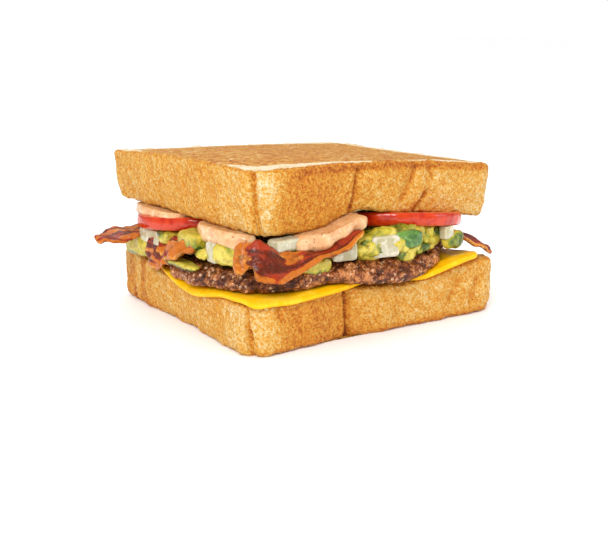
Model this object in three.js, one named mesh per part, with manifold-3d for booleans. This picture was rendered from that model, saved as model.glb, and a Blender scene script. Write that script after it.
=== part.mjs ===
// Bacon avocado burger between two thick slices of toasted bread.
//
// Millimetres, +Z up. The origin is the middle of the bottom slice's resting face. The long loaf's browned
// crust, with its two creases, is the -Y face, and a flat loaf side is the -X face. From below: bottom toast,
// cheese, beef patty, then bacon, avocado, onion and chile, then two tomato slices, sauce and the top toast.
import * as THREE from 'three';
import { mergeVertices } from 'three/addons/utils/BufferGeometryUtils.js';
import Module from 'manifold-3d';

const wasm = await Module();
wasm.setup();

// ---------- driving sizes ----------
const SLICE_HALF_X = 59;
const SLICE_HALF_Y = 56;
const SLICE_CORNER = 9;
const SLICE_BULGE = 0.6;
const BOTTOM_THICKNESS = 19.5;
const CHEESE_THICKNESS = 2.2;
const PATTY_THICKNESS = 7.2;
const TOMATO_THICKNESS = 5.3;
const BACON_THICKNESS = 1.9;
const CONTACT_GAP = 0.45;
const PATTY_GAP = 0.7;
const TOP_EDGE_ROUND = 1.7;
const LOWER_EDGE_ROUND = 2.2;

// Heights above the top of the bottom slice.
const CHEESE_BASE = CONTACT_GAP;
const CHEESE_TOP = CHEESE_BASE + CHEESE_THICKNESS;
const PATTY_BASE = CHEESE_TOP + PATTY_GAP;
const PATTY_TOP = PATTY_BASE + PATTY_THICKNESS;

// ---------- small maths ----------

/** Bell curve of height 1 at 0. */
function bell(distance, width) {
  return Math.exp(-(distance * distance) / (2 * width * width));
}

/** 0 below a, 1 above b, smooth between. */
function ease(value, a, b) {
  return THREE.MathUtils.smoothstep(value, a, b);
}

/** Repeatable random numbers from 0 to 1. */
function seeded(seed) {
  let state = seed;
  return () => {
    state = (state * 1664525 + 1013904223) % 4294967296;
    return state / 4294967296;
  };
}

/** Smooth unevenness of about -1 to 1 at a point, with the given wavelength. */
function uneven(x, y, z, wavelength) {
  const k = (2 * Math.PI) / wavelength;
  return (
    Math.sin(k * (x + 0.6 * y) + 1.3) * 0.5
    + Math.sin(k * (0.8 * y - 0.5 * x + 0.9 * z) + 4.1) * 0.3
    + Math.sin(k * (1.7 * x - 1.3 * y + z) + 2.2) * 0.2
  );
}

/** Distance from (s, z) to the segment between two such points. */
function distanceToSegment(s, z, from, to) {
  const ds = to[0] - from[0];
  const dz = to[1] - from[1];
  const along = THREE.MathUtils.clamp(((s - from[0]) * ds + (z - from[1]) * dz) / (ds * ds + dz * dz), 0, 1);
  return Math.hypot(s - from[0] - along * ds, z - from[1] - along * dz);
}

// ---------- solids ----------

/** Geometry of a closed surface; its faces are turned to point out. */
function closedGeometry(points, triangles) {
  const geometry = new THREE.BufferGeometry();
  let sixVolumes = 0;
  for (let t = 0; t < triangles.length; t += 3) {
    const [a, b, c] = [points[triangles[t]], points[triangles[t + 1]], points[triangles[t + 2]]];
    sixVolumes += a[0] * (b[1] * c[2] - b[2] * c[1]) + a[1] * (b[2] * c[0] - b[0] * c[2])
      + a[2] * (b[0] * c[1] - b[1] * c[0]);
  }
  geometry.setAttribute('position', new THREE.Float32BufferAttribute(points.flat(), 3));
  geometry.setIndex(sixVolumes < 0 ? triangles.slice().reverse() : triangles);
  return geometry;
}

/** Closed solid through a row of rings of equal length, each end closed by a fan to its middle. */
function ringSolid(rings) {
  const sides = rings[0].length;
  const points = rings.flat();
  const triangles = [];
  for (let ring = 0; ring + 1 < rings.length; ring += 1) {
    for (let side = 0; side < sides; side += 1) {
      const a = ring * sides + side;
      const b = ring * sides + ((side + 1) % sides);
      triangles.push(a, b, b + sides, a, b + sides, a + sides);
    }
  }
  for (const [ring, flip] of [[0, true], [rings.length - 1, false]]) {
    const middle = points.length;
    const sum = rings[ring].reduce((total, p) => total.map((v, i) => v + p[i]), [0, 0, 0]);
    points.push(sum.map((v) => v / sides));
    for (let side = 0; side < sides; side += 1) {
      const a = ring * sides + side;
      const b = ring * sides + ((side + 1) % sides);
      triangles.push(...(flip ? [b, a, middle] : [a, b, middle]));
    }
  }
  return closedGeometry(points, triangles);
}

/** The manifold solid of a closed geometry. */
function toSolid(geometry) {
  const bare = geometry.clone();
  bare.deleteAttribute('normal');
  bare.deleteAttribute('uv');
  const merged = mergeVertices(bare, 1e-5);
  const mesh = new wasm.Mesh({
    numProp: 3,
    vertProperties: new Float32Array(merged.attributes.position.array),
    triVerts: new Uint32Array(merged.index.array),
  });
  return new wasm.Manifold(mesh);
}

/** Whether the boxes of two geometries meet. */
function boxesMeet(a, b) {
  a.computeBoundingBox();
  b.computeBoundingBox();
  return a.boundingBox.intersectsBox(b.boundingBox);
}

/** A geometry with each cutter that touches it taken away; the largest body is kept. */
function carve(geometry, cutters) {
  let solid = toSolid(geometry);
  const touching = cutters
    .filter((cutter) => boxesMeet(geometry, cutter))
    .map(toSolid)
    .filter((cutter) => solid.intersect(cutter).volume() > 0);
  if (touching.length === 0) {
    return geometry;
  }
  for (const cutter of touching) {
    solid = solid.subtract(cutter);
  }
  const bodies = solid.decompose().sort((a, b) => b.volume() - a.volume());
  const mesh = bodies[0].getMesh();
  const result = new THREE.BufferGeometry();
  result.setAttribute('position', new THREE.Float32BufferAttribute(mesh.vertProperties, 3));
  result.setIndex(Array.from(mesh.triVerts));
  return result;
}

// ---------- the loaf's outline ----------

/**
 * Rounded rectangle walked anticlockwise from the middle of its front (-Y) side. On the front side the walk's
 * length s is x itself. at(s) gives the point and the outward normal.
 */
function roundedOutline(halfX, halfY, radius) {
  const quarter = (Math.PI / 2) * radius;
  const flatX = halfX - radius;
  const flatY = halfY - radius;
  const length = 4 * (flatX + flatY + quarter);
  const corners = [[flatX, -flatY], [flatX, flatY], [-flatX, flatY], [-flatX, -flatY]];
  const runs = [2 * flatY, 2 * flatX, 2 * flatY, 2 * flatX];

  function at(s) {
    let left = THREE.MathUtils.euclideanModulo(s + flatX, length) - 2 * flatX;
    if (left < 0) {
      return { x: left + flatX, y: -halfY, nx: 0, ny: -1 };
    }
    for (let side = 0; side < 4; side += 1) {
      const [cx, cy] = corners[side];
      const heading = (side - 1) * (Math.PI / 2);
      if (left < quarter) {
        const angle = heading + left / radius;
        const nx = Math.cos(angle);
        const ny = Math.sin(angle);
        return { x: cx + radius * nx, y: cy + radius * ny, nx, ny };
      }
      left -= quarter;
      if (left < runs[side]) {
        const nx = Math.cos(heading + Math.PI / 2);
        const ny = Math.sin(heading + Math.PI / 2);
        return { x: cx + radius * nx - left * ny, y: cy + radius * ny + left * nx, nx, ny };
      }
      left -= runs[side];
    }
    return { x: -flatX, y: -halfY, nx: 0, ny: -1 };
  }
  return { length, at };
}

const LOAF = roundedOutline(SLICE_HALF_X, SLICE_HALF_Y, SLICE_CORNER);
const BACK_SHOULDER_S = (SLICE_HALF_X - SLICE_CORNER) + 1.2 * SLICE_CORNER;

/** Walk positions round the loaf: even steps, with closer ones in the given stretches. */
function walkPositions(step, closeStretches) {
  const positions = [];
  const count = Math.round(LOAF.length / step);
  for (let i = 0; i < count; i += 1) {
    positions.push(-LOAF.length / 2 + (i * LOAF.length) / count);
  }
  for (const { from, to, step: closeStep } of closeStretches) {
    for (let s = from; s <= to + 1e-6; s += closeStep) {
      positions.push(s);
    }
  }
  positions.sort((a, b) => a - b);
  return positions.filter((s, i) => i === 0 || s - positions[i - 1] > 0.55);
}

// ---------- toast ----------

/** Height of the bottom slice's upper face: pressed in along the left edge, lifted at three corners. */
function bottomTop(x, y) {
  return BOTTOM_THICKNESS
    + 3.2 * bell(Math.hypot(x - 50, y + 54), 14)
    - 1.6 * bell(Math.hypot(x - 13, (y + 58) * 1.4), 11)
    + 2.4 * bell(Math.hypot(x + 60, y - 42), 12)
    + 0.9 * bell(Math.hypot(x - 40, y - 54), 16)
    - 3.6 * bell(y + 8, 17) * ease(-x, 42, 58)
    - bell(Math.hypot(x + 56, y + 53), 14);
}

/** Height of the top slice's underside, which tilts up to the left and arches along its front edge. */
function topUnderside(x, y) {
  const arch = 4.6 * bell(x + 10, 10) + 4 * bell(x - 16, 19) - 0.6 * bell(x + 45, 8);
  return 40.1 - 0.051 * x + ease(-y, 5, 52) * arch;
}

const TOP_CORNERS = { frontLeft: 66.3, frontRight: 59.3, backLeft: 62.8, backRight: 58 };

/** Height of the top slice's upper face: highest at the front-left corner, crowned along two edges. */
function topTop(x, y) {
  const toRight = (x + SLICE_HALF_X) / (2 * SLICE_HALF_X);
  const toBack = (y + SLICE_HALF_Y) / (2 * SLICE_HALF_Y);
  const front = THREE.MathUtils.lerp(TOP_CORNERS.frontLeft, TOP_CORNERS.frontRight, toRight);
  const back = THREE.MathUtils.lerp(TOP_CORNERS.backLeft, TOP_CORNERS.backRight, toRight);
  const frontCrown = 2.6 * 4 * toRight * (1 - toRight) * (1 - toBack);
  const leftCrown = 1.9 * 4 * toBack * (1 - toBack) * (1 - toRight);
  return THREE.MathUtils.lerp(front, back, toBack) + frontCrown + leftCrown;
}

/**
 * Each slice has its place (shift, turn and stretch of the loaf's outline), its two faces, its lean (how much
 * wider it is above than below), its creases as segments of (walk s, height z) and the walk's closer stretches.
 */
const BOTTOM_SLICE = {
  shift: [0, 0],
  turn: 0,
  stretch: [1, 1],
  lower: () => 0,
  upper: bottomTop,
  lean: 0.6,
  grooves: [
    { from: [-60.6, 18.5], to: [-58.2, 0], width: 1.1, depth: 1.6 },
    { from: [-59, 9], to: [-57, 0], width: 0.9, depth: 1.1 },
    { from: [-17.6, 19], to: [-15.6, 0], width: 1.2, depth: 2.4 },
    { from: [-17.6, 19], to: [-16, 0], width: 8, depth: 1.8 },
    { from: [-45, 19], to: [-38, 6], width: 3, depth: 0.9 },
    { from: [38, 16], to: [33, 8], width: 2.4, depth: 0.9 },
    { from: [47, 15], to: [44, 6], width: 2.4, depth: 0.8 },
    { from: [BACK_SHOULDER_S, 0], to: [BACK_SHOULDER_S + 1, 20], width: 1.4, depth: 1.2 },
    { from: [160, 0], to: [166, 20], width: 2.2, depth: 1.1 },
  ],
  close: [{ from: -63, to: -55, step: 1.3 }, { from: -21, to: -12.6, step: 1.4 },
    { from: BACK_SHOULDER_S - 3, to: BACK_SHOULDER_S + 3, step: 2 }],
  flare: 1.9,
  flareEnds: 16,
};

const TOP_SLICE = {
  shift: [1.15, 5.47],
  turn: THREE.MathUtils.degToRad(2.73),
  stretch: [1.011, 0.984],
  lower: topUnderside,
  upper: topTop,
  lean: 2.8,
  grooves: [
    { from: [-57.9, 67], to: [-55.8, 42], width: 1.1, depth: 1.7 },
    { from: [-12.6, 63], to: [-14.4, 44], width: 1, depth: 1.8 },
    { from: [-12.8, 62], to: [-14.3, 44], width: 7, depth: 0.6 },
    { from: [15.6, 61.4], to: [10.8, 50.2], width: 1.9, depth: 1.5 },
    { from: [22.6, 60.6], to: [25.2, 56.8], width: 1.4, depth: 1.1 },
    { from: [22, 51], to: [17.5, 44.4], width: 1.4, depth: 1.8 },
    { from: [BACK_SHOULDER_S, 38], to: [BACK_SHOULDER_S + 1, 62], width: 1.4, depth: 1.3 },
    { from: [150, 44], to: [154, 60], width: 2.2, depth: 1.2 },
  ],
  close: [{ from: -61, to: -52, step: 1.4 }, { from: -17.4, to: -10.2, step: 1.2 },
    { from: 8, to: 26, step: 2.6 }, { from: BACK_SHOULDER_S - 3, to: BACK_SHOULDER_S + 3, step: 2 }],
  flare: 0,
  flareEnds: 16,
};

/** How far the crust stands out of the plain outline at walk position s and height z; share is z's level. */
function crustRelief(slice, s, z, place, share) {
  let out = 0.5 * uneven(s, 0, z, 46) + 0.25 * uneven(s, 3, z, 15);
  out += slice.flare * bell(Math.hypot(place.x + 60, place.y + 44), 14) * ease(slice.flareEnds - z, 0, 14);
  for (const groove of slice.grooves) {
    out -= groove.depth * bell(distanceToSegment(s, z, groove.from, groove.to), groove.width);
  }
  const held = ease(1.02 - share, 0, 0.12) * ease(share, -0.2, 0.1);
  return out * held * ease(LOAF.length / 2 - Math.abs(s), 0, 14);
}

/** A point of a slice's own outline moved to where the slice lies. */
function laid({ shift, turn, stretch }, x, y, z) {
  const wideX = x * stretch[0];
  const wideY = y * stretch[1];
  return [
    wideX * Math.cos(turn) - wideY * Math.sin(turn) + shift[0],
    wideX * Math.sin(turn) + wideY * Math.cos(turn) + shift[1],
    z,
  ];
}

/** One slice of toast: rounded edges, a slightly bulging crust with its creases, and warped flat faces. */
function toast(slice, grow = 0) {
  const walk = walkPositions(8.6, slice.close);
  const places = walk.map((s) => LOAF.at(s));
  const wall = [0, 0.33, 0.67, 1];
  const arc = Math.PI / 4;

  function ring(inset, heightOf) {
    return places.map((place, i) => {
      const low = slice.lower(place.x, place.y) - grow;
      const high = slice.upper(place.x, place.y) + grow;
      const { z, share } = heightOf(low, high);
      const bulge = SLICE_BULGE * 4 * share * (1 - share) + slice.lean * (share - 0.5);
      const out = grow - inset + bulge + crustRelief(slice, walk[i], z, place, share);
      return laid(slice, place.x + place.nx * out, place.y + place.ny * out, z);
    });
  }
  function flat(scale, heightOf, inset) {
    return places.map((place) => {
      const x = (place.x - place.nx * inset) * scale;
      const y = (place.y - place.ny * inset) * scale;
      return laid(slice, x, y, heightOf(x, y));
    });
  }
  const underside = (x, y) => slice.lower(x, y) - grow;
  const topFace = (x, y) => slice.upper(x, y) + grow;
  const r = LOWER_EDGE_ROUND;
  const q = TOP_EDGE_ROUND;
  const rings = [
    flat(0.8, underside, r),
    ring(r, (low) => ({ z: low, share: 0 })),
    ring(r * (1 - Math.sin(arc)), (low) => ({ z: low + r * (1 - Math.cos(arc)), share: 0.05 })),
    ...wall.map((v) => ring(0, (low, high) => (
      { z: low + r + v * (high - low - r - q), share: 0.1 + 0.82 * v }))),
    ring(q * (1 - Math.sin(arc)), (low, high) => ({ z: high - q * (1 - Math.cos(arc)), share: 0.96 })),
    ring(q, (low, high) => ({ z: high, share: 1 })),
    flat(0.88, topFace, q),
    flat(0.66, topFace, q),
  ];
  return ringSolid(rings);
}

// ---------- cheese ----------

const CHEESE_MIDDLE = [-6, -4];
const CHEESE_FRONT = [[-57.4, -55.8], [-47, -58.3], [-30, -58.1], [-17, -56.4], [-6, -52.8], [8, -53],
  [17, -57], [27, -59.4], [38, -59.4], [47.5, -55.5]];
const CHEESE_BACK = [[47, -34], [45, 2], [44, 42], [4, 47], [-46, 46], [-53, 34], [-58.4, 19], [-60.2, 7],
  [-61.4, -5], [-62.4, -18], [-61.6, -27], [-60, -36], [-59.6, -46]];

/** A point of the flat cheese laid on the bottom slice, lift above it: it bends down past the slice's edge. */
function drape(x, y, lift) {
  const flatX = SLICE_HALF_X - SLICE_CORNER;
  const flatY = SLICE_HALF_Y - SLICE_CORNER;
  const outX = Math.max(Math.abs(x) - flatX, 0);
  const outY = Math.max(Math.abs(y) - flatY, 0);
  const reach = Math.hypot(outX, outY);
  const past = reach - (SLICE_CORNER - TOP_EDGE_ROUND);
  const ground = bottomTop(x, y);
  if (past <= 0 || reach === 0) {
    return [x, y, ground + lift];
  }
  const nx = (Math.sign(x) * outX) / reach;
  const ny = (Math.sign(y) * outY) / reach;
  const edgeRound = TOP_EDGE_ROUND + 1.2;
  const radius = edgeRound + lift;
  const turn = Math.min(past / (edgeRound + CHEESE_BASE + CHEESE_THICKNESS / 2), Math.PI / 2);
  const hang = Math.max(0, past - (edgeRound + CHEESE_BASE + CHEESE_THICKNESS / 2) * (Math.PI / 2));
  const startX = x - nx * past;
  const startY = y - ny * past;
  const out = radius * Math.sin(turn);
  return [startX + nx * out, startY + ny * out, ground - edgeRound + radius * Math.cos(turn) - hang];
}

/** The melted cheese slice: bent over the left and front edges, straight where its right corner lifts. */
function cheese() {
  const outline = new THREE.CatmullRomCurve3(
    [...CHEESE_FRONT, ...CHEESE_BACK].map(([x, y]) => new THREE.Vector3(x, y, 0)),
    true,
    'centripetal',
  ).getSpacedPoints(48).slice(0, 48);

  function ring(share, layer) {
    return outline.map((p) => {
      const x = CHEESE_MIDDLE[0] + (p.x - CHEESE_MIDDLE[0]) * share;
      const y = CHEESE_MIDDLE[1] + (p.y - CHEESE_MIDDLE[1]) * share;
      const lift = CHEESE_BASE + CHEESE_THICKNESS * layer + 0.7 * bell(Math.hypot(x + 57, y + 54), 6);
      const loose = ease(x, 12, 24) * ease(-y, 48, 54);
      const upturn = 1.6 * bell(x - 34, 9) * ease(-y, 50, 54);
      const flat = [x, y, bottomTop(x, y) + lift + upturn];
      return drape(x, y, lift).map((value, axis) => THREE.MathUtils.lerp(value, flat[axis], loose));
    });
  }
  return ringSolid([
    ring(0.66, 0), ring(0.85, 0), ring(0.93, 0), ring(0.975, 0.06),
    ring(1.002, 0.5),
    ring(0.975, 0.94), ring(0.93, 1), ring(0.85, 1), ring(0.66, 1),
  ]);
}

// ---------- beef patty ----------

const PATTY_MIDDLE = [-4, -2];

/** Radius of the patty in a direction: fuller towards the front corner, drawn in at the left and right. */
function pattyRadius(angle) {
  const degrees = THREE.MathUtils.euclideanModulo(THREE.MathUtils.radToDeg(angle), 360);
  const swell = [[160, 14, -3.5], [192, 13, 3], [223, 13, 12], [262, 14, 1.6], [288, 12, 3.6], [326, 15, 4]];
  let radius = 57;
  for (const [middle, width, height] of swell) {
    radius += height * bell(degrees - middle, width);
  }
  return radius + 0.8 * Math.sin(angle * 11 + 0.7) + 0.5 * Math.sin(angle * 17);
}

/** Height of the patty's top, with its coarse crumble. */
function pattyTop(x, y) {
  return bottomTop(x, y) + PATTY_TOP + 0.35 * uneven(x, y, 0, 13);
}

/** The patty: a wide uneven disc of coarse mince with a crumbly side, sagging where it passes the crust. */
function patty(grow = 0) {
  const sides = 62;
  const random = seeded(11);
  function ring(inset, share, rough) {
    return Array.from({ length: sides }, (unused, i) => {
      const angle = (i / sides) * 2 * Math.PI;
      const crag = rough * (random() - 0.5) * 2;
      const reach = pattyRadius(angle) - inset + crag + grow;
      const x = PATTY_MIDDLE[0] + reach * Math.cos(angle);
      const y = PATTY_MIDDLE[1] + reach * Math.sin(angle);
      const sag = 1.7 * ease(-y, 54.5, 58.5) * bell(x - 3, 14) + 2.6 * ease(-x, 58, 61.5) * bell(y - 7, 9);
      const top = pattyTop(x, y) + grow;
      const base = bottomTop(x, y) + PATTY_BASE - grow;
      return [x, y, base + share * (top - base) - sag + crag * 0.35 * (share > 0.1 && share < 0.9 ? 1 : 0)];
    });
  }
  return ringSolid([
    ring(23, 0, 0), ring(13, 0, 0), ring(6, 0, 0), ring(1.4, 0.02, 0.3), ring(0.1, 0.24, 0.8),
    ring(0, 0.5, 0.9), ring(1.4, 0.74, 0.8), ring(4.4, 0.95, 0.6), ring(13, 1, 0), ring(23, 1, 0),
  ]);
}

// ---------- tomato ----------

const TOMATOES = {
  tomato_slice_left: {
    middle: [-33.5, 20],
    radius: 30,
    base: (x, y) => 39.5 - 0.085 * (y - 20) - 0.03 * (x + 33.5) - TOMATO_THICKNESS,
  },
  tomato_slice_right: {
    middle: [25, -28.5],
    radius: 28,
    base: (x, y) => 40.4 - 0.1 * (x - 25) - 0.145 * (y + 28.5) - TOMATO_THICKNESS,
  },
};

/** A round tomato slice with a slightly bulging skin. */
function tomato({ middle, radius, base }, grow = 0) {
  const sides = 28;
  function ring(inset, share) {
    return Array.from({ length: sides }, (unused, i) => {
      const angle = (i / sides) * 2 * Math.PI;
      const reach = (radius + grow) * (1 + 0.012 * Math.sin(3 * angle + middle[0])) - inset;
      const x = middle[0] + reach * Math.cos(angle);
      const y = middle[1] + reach * Math.sin(angle);
      return [x, y, base(x, y) - grow + share * (TOMATO_THICKNESS + 2 * grow)];
    });
  }
  return ringSolid([ring(1.2, 0), ring(0.3, 0.14), ring(-0.3, 0.5), ring(0.3, 0.86), ring(1.2, 1)]);
}

// ---------- bacon ----------

/**
 * Each strip follows stations [x, y, z, width, across x, across y, across z]: the middle of the strip, its
 * width there and the direction across it. waves, wave and skew are the number, height and slant of ripples.
 */
const BACON = {
  bacon_strip_left: {
    stations: [
      [-78.5, 35, 29.6, 6, 0.1, 1, 0.1], [-73, 34.5, 30.2, 13, 0.1, 1, 0.2], [-66, 35, 31, 16, 0.1, 1, 0.18],
      [-58, 35, 31.9, 15, 0.1, 1, 0.02], [-48, 35, 31.6, 14, 0, 1, 0], [-36, 35, 31.4, 14, 0, 1, 0],
    ],
    waves: 3.2,
    wave: 0.45,
    skew: 1.2,
    count: 14,
  },
  bacon_strip_crumpled: {
    stations: [
      [-60.4, 24, 26, 8, 0.1, 0.5, 0.9], [-61, 19, 26, 12, 0.12, 0.35, 1], [-61.2, 12, 25.6, 12, 0.3, 0.3, 1],
      [-60.8, 5, 28.8, 12, 0.35, 0.1, 1], [-62.4, -3, 31.2, 10, 0.55, 0.1, 1], [-62.5, -11, 33.2, 8, 0.7, 0.1, 0.8],
      [-60.5, -18, 34, 5, 0.7, 0.2, 0.6],
    ],
    waves: 4.2,
    wave: 1,
    skew: 1.5,
    count: 20,
  },
  bacon_strip_folded: {
    stations: [
      [-60.6, -48, 37.4, 6, 0.2, 0.2, 1], [-60.8, -53.2, 37, 12, 0.4, 0.3, 1], [-57.2, -57, 36.2, 15, 0.4, 0.5, 1],
      [-51.5, -57.8, 34, 15, 0.25, 0.7, 1], [-45, -57.6, 33.6, 10.5, 0.2, 0.8, 1],
      [-38.5, -57.2, 33.6, 7.5, 0.2, 0.9, 0.8], [-30, -57, 35.2, 6.5, 0.1, 1, 0.4],
      [-21.5, -56.8, 37.6, 7, 0, 1, 0.35], [-11, -55.8, 41, 5, 0, 1, 0.3],
    ],
    waves: 3.4,
    wave: 0.8,
    skew: 0.9,
    count: 22,
  },
  bacon_strip_right: {
    stations: [
      [26, -37, 32.4, 13, -0.1, 1, 0], [38, -42, 32.6, 13, -0.1, 1, 0.05], [47, -45, 31, 12, -0.1, 1, 0.25],
      [55, -46.4, 27.4, 10.5, 0, 1, 0.4], [62.5, -47.5, 23.4, 6, 0, 1, 0.45],
    ],
    waves: 3,
    wave: 0.5,
    skew: 1,
    count: 14,
  },
  bacon_strip_back: {
    stations: [
      [22, 36, 32.2, 13, 0.3, 1, 0], [34, 40, 32.6, 15, 0.3, 1, 0], [46, 44, 32.2, 16, 0.3, 1, 0.1],
      [56, 48, 30, 14, 0.3, 1, 0.2], [65, 52, 26.6, 8, 0.3, 1, 0.2],
    ],
    waves: 3.4,
    wave: 0.9,
    skew: 1,
    count: 14,
  },
};

const BACON_SECTION = [-1, -0.4, 0.4, 1];

/** A rippled bacon strip of even thickness along its stations. */
function bacon({ stations, waves, wave, skew, count }, grow = 0) {
  const middle = new THREE.CatmullRomCurve3(stations.map((s) => new THREE.Vector3(s[0], s[1], s[2])));
  const across = new THREE.CatmullRomCurve3(stations.map((s) => new THREE.Vector3(s[4], s[5], s[6]).normalize()));
  const widths = new THREE.CatmullRomCurve3(stations.map((s) => new THREE.Vector3(s[3], 0, 0)));
  const half = BACON_THICKNESS / 2 + grow;
  const rings = [];
  for (let i = 0; i < count; i += 1) {
    const t = i / (count - 1);
    const centre = middle.getPoint(t);
    const along = middle.getTangent(t);
    const side = across.getPoint(t);
    side.addScaledVector(along, -side.dot(along)).normalize();
    const normal = new THREE.Vector3().crossVectors(along, side);
    centre.addScaledVector(along, grow * (2 * t - 1));
    const halfWidth = widths.getPoint(t).x / 2 + grow;
    const edge = (u, face) => {
      const ripple = wave * Math.sin(2 * Math.PI * waves * t + skew * u);
      const lift = ripple + face * half * (Math.abs(u) === 1 ? 0.45 : 1);
      const p = centre.clone().addScaledVector(side, u * halfWidth).addScaledVector(normal, lift);
      return [p.x, p.y, p.z];
    };
    rings.push([...BACON_SECTION.map((u) => edge(u, 1)), ...BACON_SECTION.slice().reverse().map((u) => edge(u, -1))]);
  }
  return ringSolid(rings);
}

// ---------- chopped pieces and sauce ----------

/** Chopped avocado, onion and chile: middle, size, turn about z in degrees, boxiness and seed. */
const CHOPPED = {
  avocado_chunk_1: { at: [-59, 32, 26.4], size: [8.6, 18.5, 9.4], turn: 8, boxy: 0.6 },
  avocado_chunk_2: { at: [-58, 10.3, 33.2], size: [7, 10, 5], turn: 0, boxy: 0.7 },
  avocado_chunk_3: { at: [-57, -11, 35.4], size: [10, 17, 6.8], turn: -8, boxy: 0.7 },
  avocado_chunk_4: { at: [-60.4, -23.5, 32.6], size: [4.6, 6, 3.8], turn: 0, boxy: 0.9 },
  avocado_chunk_5: { at: [-55, -35.8, 34.4], size: [10, 13.5, 8.2], turn: 20, boxy: 0.7 },
  avocado_chunk_6: { at: [-5.7, -52, 33.7], size: [10.6, 9, 10], turn: -14, boxy: 0.7 },
  avocado_chunk_7: { at: [-30.7, -53, 30], size: [13.6, 7, 5.4], turn: 4, boxy: 0.8 },
  avocado_chunk_8: { at: [36.8, -52.4, 31.6], size: [11.6, 6.4, 7.4], turn: 20, boxy: 0.75 },
  avocado_chunk_9: { at: [51, 22, 33.4], size: [10, 14, 6.4], turn: 15, boxy: 0.65 },
  avocado_chunk_10: { at: [-14, 51.5, 34], size: [15, 9, 6.2], turn: -10, boxy: 0.65 },
  avocado_chunk_11: { at: [-61.2, -7.5, 25.8], size: [5.4, 24, 3], turn: 2, boxy: 0.7 },
  onion_piece_1: { at: [-58.8, 19.6, 31.6], size: [5.4, 19.5, 6.2], turn: 5, boxy: 0.35 },
  onion_piece_2: { at: [-58.2, -28.3, 34], size: [4.4, 7.4, 8], turn: 0, boxy: 0.4 },
  onion_piece_3: { at: [-41.7, -50.5, 39], size: [12.6, 7, 4.6], turn: 8, boxy: 0.4 },
  onion_piece_4: { at: [-18, -53, 33.9], size: [10.4, 6, 7], turn: -8, boxy: 0.35 },
  onion_piece_5: { at: [-0.5, -56, 34.2], size: [12, 4, 8.4], turn: -10, boxy: 0.35 },
  onion_piece_6: { at: [32.3, -53.8, 35.4], size: [5.4, 3.6, 5.4], turn: 10, boxy: 0.35 },
  onion_piece_7: { at: [53.6, -3, 33], size: [5, 14, 5], turn: -8, boxy: 0.35 },
  onion_piece_8: { at: [8, 52.5, 34], size: [14, 5, 5], turn: 8, boxy: 0.35 },
  chile_piece: { at: [9.7, -57.4, 36.1], size: [12, 3.4, 7.2], turn: -10, boxy: 0.7 },
};

/** Sauce that shows as lobes between the tomato or the fillings and the top slice. */
const SAUCE = {
  sauce_left: { at: [-48.5, 20.5, 41.6], size: [27, 38, 8.4], turn: 2, boxy: 0.75, rings: 5, sides: 12 },
  sauce_corner: { at: [-54.4, -29.5, 40.8], size: [12, 35, 10.4], turn: 2, boxy: 0.85, rings: 5, sides: 12 },
  sauce_front: { at: [-23, -50, 41.2], size: [33, 13.4, 7.4], turn: 2, boxy: 0.75, rings: 5, sides: 12, rise: 0.2 },
  sauce_back: { at: [20, 42, 38], size: [40, 22, 4.6], turn: -6, boxy: 0.8, rings: 5, sides: 12 },
};

/** An uneven rounded block; boxy goes from 0.3 for a crisp block to 1 for an ellipsoid, and rise slopes its length. */
function lump({ at, size, turn, boxy, rings = 4, sides = 9, rise = 0 }, grow = 0, rough = 0.07) {
  const random = seeded(Math.round(at[0] * 7 + at[1] * 13 + 5000));
  const bend = (value) => Math.sign(value) * Math.abs(value) ** boxy;
  const angle0 = THREE.MathUtils.degToRad(turn);
  const solidRings = [];
  for (let ring = 1; ring <= rings; ring += 1) {
    const polar = (Math.PI * ring) / (rings + 1);
    const points = [];
    for (let side = 0; side < sides; side += 1) {
      const angle = (2 * Math.PI * side) / sides;
      const scale = 1 + rough * (random() * 2 - 1);
      const flat = bend(Math.sin(polar)) * scale;
      const x = bend(Math.cos(angle)) * flat * (size[0] / 2 + grow);
      const y = bend(Math.sin(angle)) * flat * (size[1] / 2 + grow);
      const z = bend(Math.cos(polar)) * (size[2] / 2 + grow);
      points.push([
        at[0] + x * Math.cos(angle0) - y * Math.sin(angle0),
        at[1] + x * Math.sin(angle0) + y * Math.cos(angle0),
        at[2] + z + rise * x,
      ]);
    }
    solidRings.push(points);
  }
  return ringSolid(solidRings);
}

// ---------- avocado mash ----------

/** The mashed avocado between the patty and the tomatoes: a lumpy slab whose lobed rim shows at the sides. */
function mashSlab() {
  const sides = 30;
  function rim(angle) {
    const lobes = 1.1 * Math.sin(9 * angle + 2) + 0.8 * Math.sin(14 * angle);
    const bareCorner = 9 * bell(angle - 1.25 * Math.PI, 0.42);
    const fullSide = 2.6 * bell(angle - 1.7 * Math.PI, 0.28);
    return pattyRadius(angle) - 3.4 + lobes - bareCorner + fullSide;
  }
  function ring(share, layer) {
    return Array.from({ length: sides }, (unused, i) => {
      const angle = (i / sides) * 2 * Math.PI;
      const reach = rim(angle) * share;
      const x = PATTY_MIDDLE[0] + reach * Math.cos(angle);
      const y = PATTY_MIDDLE[1] + reach * Math.sin(angle);
      const base = pattyTop(x, y) + 0.6;
      const crown = 36.4 + 1.4 * uneven(x, y, 0, 17) + 1.2 * ease(share, 0.8, 0.95)
        + 4 * bell(Math.hypot(x - 12, y + 54), 13);
      return [x, y, base + layer * (crown - base)];
    });
  }
  return ringSolid([
    ring(0.5, 0), ring(0.93, 0), ring(1.005, 0.4), ring(0.96, 0.92), ring(0.86, 1), ring(0.5, 1),
  ]);
}

// ---------- colours ----------

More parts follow.
